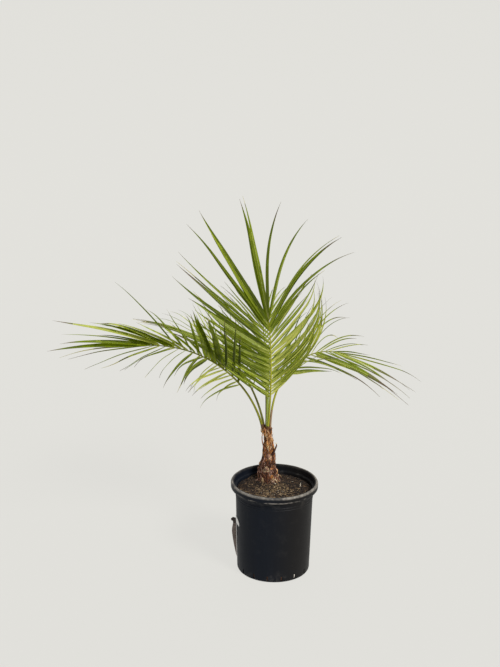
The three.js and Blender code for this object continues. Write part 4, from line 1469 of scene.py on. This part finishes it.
def bark_finish(name, dark, warm, pale):
    """Matted leaf bases: dark low down, orange fibre at mid height, specked with pale bits."""
    finish = Finish(name, rough=0.9, gloss=0.2)
    place = finish.place()
    height = finish.split(place)[2]
    along = finish.cloud(finish.stretched(place, (1, 1, 0.22)), 420.0, 5.0, 0.65)
    patches = finish.cloud(place, 75.0, 4.0)
    upper = finish.smooth(height, 0.265, 0.305)
    bright = finish.blend(finish.smooth(along, 0.35, 0.68), dark, warm)
    dull = finish.blend(finish.smooth(along, 0.4, 0.75), dark, shaded(warm, 0.62))
    matted = finish.blend(upper, dull, bright)
    specks = finish.smooth(patches, 0.6, 0.72) * finish.smooth(along, 0.45, 0.6)
    finish.set("Base Color", finish.blend(0.75 * specks, matted, pale))
    finish.relief(along, 0.7, 0.0016)
    return finish.material


def soil_finish(color, light):
    """Damp dark mix with browner crumbs. At its foot, where the drain slots show it, it is brown
    on the left and dry and pale on the right."""
    finish = Finish("soil_mix", rough=0.92, gloss=0.2)
    place = finish.place()
    crumbs = finish.cloud(place, 240.0, 6.0, 0.7)
    patches = finish.cloud(place, 34.0, 3.0)
    share = finish.smooth(crumbs + 0.3 * patches, 0.5, 0.85)
    mixed = finish.blend(share, color, light)
    across, _, height = finish.split(place)
    foot = 1 - finish.smooth(height, 0.02, 0.03)
    dry = finish.blend(finish.smooth(across, 0.032, 0.042), (78, 56, 45), (222, 216, 206))
    finish.set("Base Color", finish.blend(foot, mixed, dry))
    finish.relief(crumbs, 0.8, 0.0025)
    return finish.material


def plain_finish(name, color, light, scale, rough):
    """A matt finish with a soft mottle between two close colours."""
    finish = Finish(name, rough=rough, gloss=0.3)
    mottle = finish.cloud(finish.place(), scale, 4.0)
    finish.set("Base Color", finish.blend(finish.smooth(mottle, 0.35, 0.7), color, light))
    finish.relief(mottle, 0.3, 0.0008)
    return finish.material


class PotSettings(bpy.types.PropertyGroup):
    """The pot and the soil in it."""

    plastic: FloatVectorProperty(
        name="Plastic", description="Display colour of the pot, 0 to 255", size=3,
        default=(13, 17, 24), min=0, max=255)
    crumbs: IntProperty(
        name="Crumbs", description="How many crumbs of bark lie on the soil", default=2200, min=0)
    shreds: IntProperty(
        name="Shreds", description="How many loose fibres lie on the soil", default=1500, min=0)


class TrunkSettings(bpy.types.PropertyGroup):
    """The trunk's fibre."""

    fibres: IntProperty(
        name="Fibres", description="How many fibres lie matted on the trunk", default=1300, min=0)


class FoliageSettings(bpy.types.PropertyGroup):
    """The leaflets' shape and how much light they let through."""

    width: FloatProperty(
        name="Width", description="Width of a full leaflet", default=0.0112, min=0.002,
        unit="LENGTH")
    fold: FloatProperty(
        name="Fold", description="Height of the midrib as a share of half the width",
        default=0.55, min=0, max=1, subtype="FACTOR")
    glow: FloatProperty(
        name="Glow", description="Share of light that passes through a leaflet",
        default=0.38, min=0, max=1, subtype="FACTOR")


class StageSettings(bpy.types.PropertyGroup):
    """The studio round the palm."""

    backdrop: FloatVectorProperty(
        name="Backdrop", description="Display colour of floor and backdrop, 0 to 255", size=3,
        default=(225, 224, 219), min=0, max=255)
    sky: FloatProperty(
        name="Sky", description="Strength of the soft light from all round", default=0.55, min=0)
    key: FloatProperty(
        name="Key", description="Strength of the broad lamp", default=3.4, min=0)


class PALM_OT_pot(bpy.types.Operator):
    """Makes the pot with its turned-down rim and drain slots"""

    bl_idname = "palm.pot"
    bl_label = "Pot"

    def execute(self, context):
        sheets = Sheets()
        can = turned(pot_profile(), POT_SIDES, math.radians(POT_FIRST_ANGLE))
        sheets.add(can, 0, closed=True)
        color = tuple(context.scene.palm_pot.plastic)
        finish = pot_plastic(color)
        pot = sheets.piece("pot_can", [finish], ["pot"], "pot_plastic", POT_SHARP_ANGLE)
        cut_slots(pot)
        return {"FINISHED"}


class PALM_OT_soil(bpy.types.Operator):
    """Makes the soil with its crumbs, shreds and pale bits"""

    bl_idname = "palm.soil"
    bl_label = "Soil"

    def execute(self, context):
        settings = context.scene.palm_pot
        bed = Sheets()
        soil_bed(bed)
        bed.piece("soil_bed", [soil_finish((23, 18, 16), (62, 50, 41))], ["soil"], "soil", sharp=180)
        loose = Sheets()
        soil_crumbs(loose, settings.crumbs)
        soil_shreds(loose, settings.shreds)
        finishes = [
            plain_finish("crumb_black", (22, 18, 16), (38, 31, 26), scale=300.0, rough=0.9),
            plain_finish("crumb_brown", (54, 43, 34), (86, 70, 54), scale=300.0, rough=0.9),
            plain_finish("crumb_tan", (108, 90, 70), (140, 120, 94), scale=300.0, rough=0.9),
            plain_finish("crumb_pale", (178, 170, 152), (212, 206, 190), scale=300.0, rough=0.85),
            fibre_finish("shred_brown", (96, 76, 56)),
            fibre_finish("shred_tan", (160, 136, 102)),
        ]
        loose.piece("soil_litter", finishes, ["soil"], "soil", sharp=40)
        return {"FINISHED"}


class PALM_OT_trunk(bpy.types.Operator):
    """Makes the trunk with its bark relief, old leaf bases and matted fibre"""

    bl_idname = "palm.trunk"
    bl_label = "Trunk"

    def execute(self, context):
        core = Sheets()
        trunk_core(core)
        bark = bark_finish("bark", (46, 27, 20), (154, 94, 54), (190, 166, 142))
        core.piece("trunk_bark", [bark], ["trunk"], "trunk_fibre", sharp=60)
        tones = [
            fibre_finish("fibre_dark", (66, 39, 29)),
            fibre_finish("fibre_brown", (122, 75, 48)),
            fibre_finish("fibre_orange", (194, 126, 58)),
            fibre_finish("fibre_straw", (214, 186, 142)),
            fibre_finish("fibre_grey", (162, 128, 112)),
        ]
        bases = Sheets()
        leaf_bases(bases)
        foot_bases(bases)
        loose_pieces(bases)
        bases.piece("trunk_leaf_bases", tones, ["trunk"], "trunk_fibre", sharp=50)
        fibres = Sheets()
        bark_fibres(fibres, context.scene.palm_trunk.fibres)
        foot_fibres(fibres)
        fibres.piece("trunk_fibres", tones, ["trunk"], "trunk_fibre", sharp=70)
        return {"FINISHED"}


class PALM_OT_fronds(bpy.types.Operator):
    """Makes each frond's rib and its leaflets"""

    bl_idname = "palm.fronds"
    bl_label = "Fronds"

    def execute(self, context):
        settings = context.scene.palm_foliage
        leaves = [leaf_finish(name, color, settings.glow) for name, color in LEAF_FINISHES]
        stalks = [leaf_finish(name, color, glow=0.08) for name, color in RIB_FINISHES]
        for frond in FRONDS:
            node = "frond_" + frond["name"]
            course = rib_course(frond)
            rib = Sheets()
            make_rib(rib, frond, course)
            rib.piece("rib_" + frond["name"], stalks, [node], "leaf", sharp=60)
            blades = Sheets()
            for hand, side in ((1, "right"), (-1, "left")):
                for k in (*range(frond["pairs"]), *frond[side]["between"]):
                    leaf = Leaflet(frond, k, hand)
                    make_leaflet(blades, leaf, course, settings.width / MM, settings.fold)
            blades.piece("leaflets_" + frond["name"], leaves, [node], "leaf", sharp=30)
        return {"FINISHED"}


class PALM_OT_spear(bpy.types.Operator):
    """Makes the folded youngest frond in the middle of the crown"""

    bl_idname = "palm.spear"
    bl_label = "Spear"

    def execute(self, context):
        sheets = Sheets()
        make_spear(sheets)
        finish = leaf_finish("spear_leaf", (150, 164, 76), glow=0.2)
        sheets.piece("spear_leaf", [finish], ["spear"], "leaf", sharp=30)
        return {"FINISHED"}


class PALM_OT_side_pieces(bpy.types.Operator):
    """Makes the torn strip and the pale patch on the pot's left-hand side"""

    bl_idname = "palm.side_pieces"
    bl_label = "Side pieces"

    def execute(self, context):
        strip = Sheets()
        make_torn_strip(strip)
        finishes = [
            plain_finish("strip_grey", (92, 82, 76), (122, 110, 102), scale=160.0, rough=0.8),
            plain_finish("strip_dark", (44, 36, 32), (70, 60, 54), scale=160.0, rough=0.7),
        ]
        strip.piece("torn_strip", finishes, ["side_strip"], "strip", sharp=40)
        patch = Sheets()
        make_blank_patch(patch)
        finish = plain_finish("patch_white", (214, 212, 206), (232, 230, 226), scale=90.0, rough=0.7)
        patch.piece("blank_patch", [finish], ["side_patch"], "patch", sharp=40)
        return {"FINISHED"}


def pale_floor(color):
    """A pale floor that runs up into a backdrop behind the palm and gives off most of its light."""
    rows = [(depth, 0.0) for depth in FLOOR_DEPTHS]
    for i in range(1, FLOOR_BEND_STEPS + 1):
        angle = math.pi / 2 * i / FLOOR_BEND_STEPS
        back = FLOOR_DEPTHS[-1] + FLOOR_BEND * math.sin(angle)
        rows.append((back, FLOOR_BEND * (1 - math.cos(angle))))
    rows.append((FLOOR_DEPTHS[-1] + FLOOR_BEND, FLOOR_TOP))
    points = [(x, y, z) for y, z in rows for x in FLOOR_ACROSS]
    width = len(FLOOR_ACROSS)
    faces = [(i * width + j, i * width + j + 1, (i + 1) * width + j + 1, (i + 1) * width + j)
             for i in range(len(rows) - 1) for j in range(width - 1)]
    mesh = bpy.data.meshes.new("pale_floor")
    mesh.from_pydata(points, [], faces)
    mesh.polygons.foreach_set("use_smooth", np.ones(len(faces), bool))
    finish = Finish("pale_floor", color, rough=0.9, gloss=0.1)
    finish.set("Base Color", FLOOR_BASE)
    finish.set("Emission Color", linear(color))
    finish.set("Emission Strength", FLOOR_GLOW)
    mesh.materials.append(finish.material)
    new_object("pale_floor", mesh)


class PALM_OT_stage(bpy.types.Operator):
    """Sets the floor, the soft light and the camera"""

    bl_idname = "palm.stage"
    bl_label = "Stage"

    def execute(self, context):
        settings = context.scene.palm_stage
        scene = context.scene
        scene.view_settings.view_transform = "Standard"
        pale_floor(tuple(settings.backdrop))
        world = bpy.data.worlds.new("studio")
        world.use_nodes = True
        background = next(n for n in world.node_tree.nodes if n.type == "BACKGROUND")
        background.inputs["Color"].default_value = SKY_TINT
        background.inputs["Strength"].default_value = settings.sky
        scene.world = world
        for name, turn, share, softness, tint in LAMPS:
            self.lamp(name, turn, settings.key * share, softness, tint)
        self.camera(scene)
        return {"FINISHED"}

    def lamp(self, name, turn, strength, softness, color):
        """A broad soft lamp that shines from far away."""
        data = bpy.data.lights.new(name, "SUN")
        data.energy = strength
        data.angle = math.radians(softness)
        data.color = color
        lamp = new_object(name, data)
        lamp.rotation_euler = [math.radians(angle) for angle in turn]

    def camera(self, scene):
        """The camera stands in front, looks down a little and is turned slightly to the left."""
        data = bpy.data.cameras.new("camera")
        data.lens = CAMERA_LENS
        data.sensor_width = CAMERA_SENSOR
        data.clip_end = CAMERA_REACH
        camera = new_object("camera", data)
        pitch, yaw, roll = map(math.radians, (CAMERA_PITCH, CAMERA_YAW, CAMERA_ROLL))
        forward = Vector((
            -math.sin(yaw) * math.cos(pitch), math.cos(yaw) * math.cos(pitch), -math.sin(pitch)))
        level = Vector((math.cos(yaw), math.sin(yaw), 0))
        above = level.cross(forward)
        right = level * math.cos(roll) + above * math.sin(roll)
        upward = above * math.cos(roll) - level * math.sin(roll)
        turn = Matrix((right, upward, -forward)).transposed()
        camera.matrix_world = Matrix.Translation(CAMERA_PLACE) @ turn.to_4x4()
        scene.camera = camera


class PALM_PT_panel(bpy.types.Panel):
    """Lists the steps that build the palm"""

    bl_idname = "PALM_PT_panel"
    bl_label = "Potted palm"
    bl_space_type = "VIEW_3D"
    bl_region_type = "UI"
    bl_category = "Palm"

    def draw(self, context):
        layout = self.layout
        for group in GROUPS:
            settings = getattr(context.scene, group)
            for key in settings.bl_rna.properties.keys():
                if key not in ("name", "rna_type"):
                    layout.prop(settings, key)
        for operator in OPERATORS:
            layout.operator(operator.bl_idname)


GROUPS = {
    "palm_pot": PotSettings,
    "palm_trunk": TrunkSettings,
    "palm_foliage": FoliageSettings,
    "palm_stage": StageSettings,
}
OPERATORS = (
    PALM_OT_stage,
    PALM_OT_pot,
    PALM_OT_soil,
    PALM_OT_trunk,
    PALM_OT_fronds,
    PALM_OT_spear,
    PALM_OT_side_pieces,
)


def register():
    for group in GROUPS.values():
        bpy.utils.register_class(group)
    for name, group in GROUPS.items():
        setattr(bpy.types.Scene, name, PointerProperty(type=group))
    for operator in OPERATORS:
        bpy.utils.register_class(operator)
    bpy.utils.register_class(PALM_PT_panel)


def unregister():
    bpy.utils.unregister_class(PALM_PT_panel)
    for operator in reversed(OPERATORS):
        bpy.utils.unregister_class(operator)
    for name, group in GROUPS.items():
        delattr(bpy.types.Scene, name)
        bpy.utils.unregister_class(group)


def main():
    register()
    bpy.ops.palm.stage()
    bpy.ops.palm.pot()
    bpy.ops.palm.soil()
    bpy.ops.palm.trunk()
    bpy.ops.palm.fronds()
    bpy.ops.palm.spear()
    bpy.ops.palm.side_pieces()


if __name__ == "__main__":
    main()
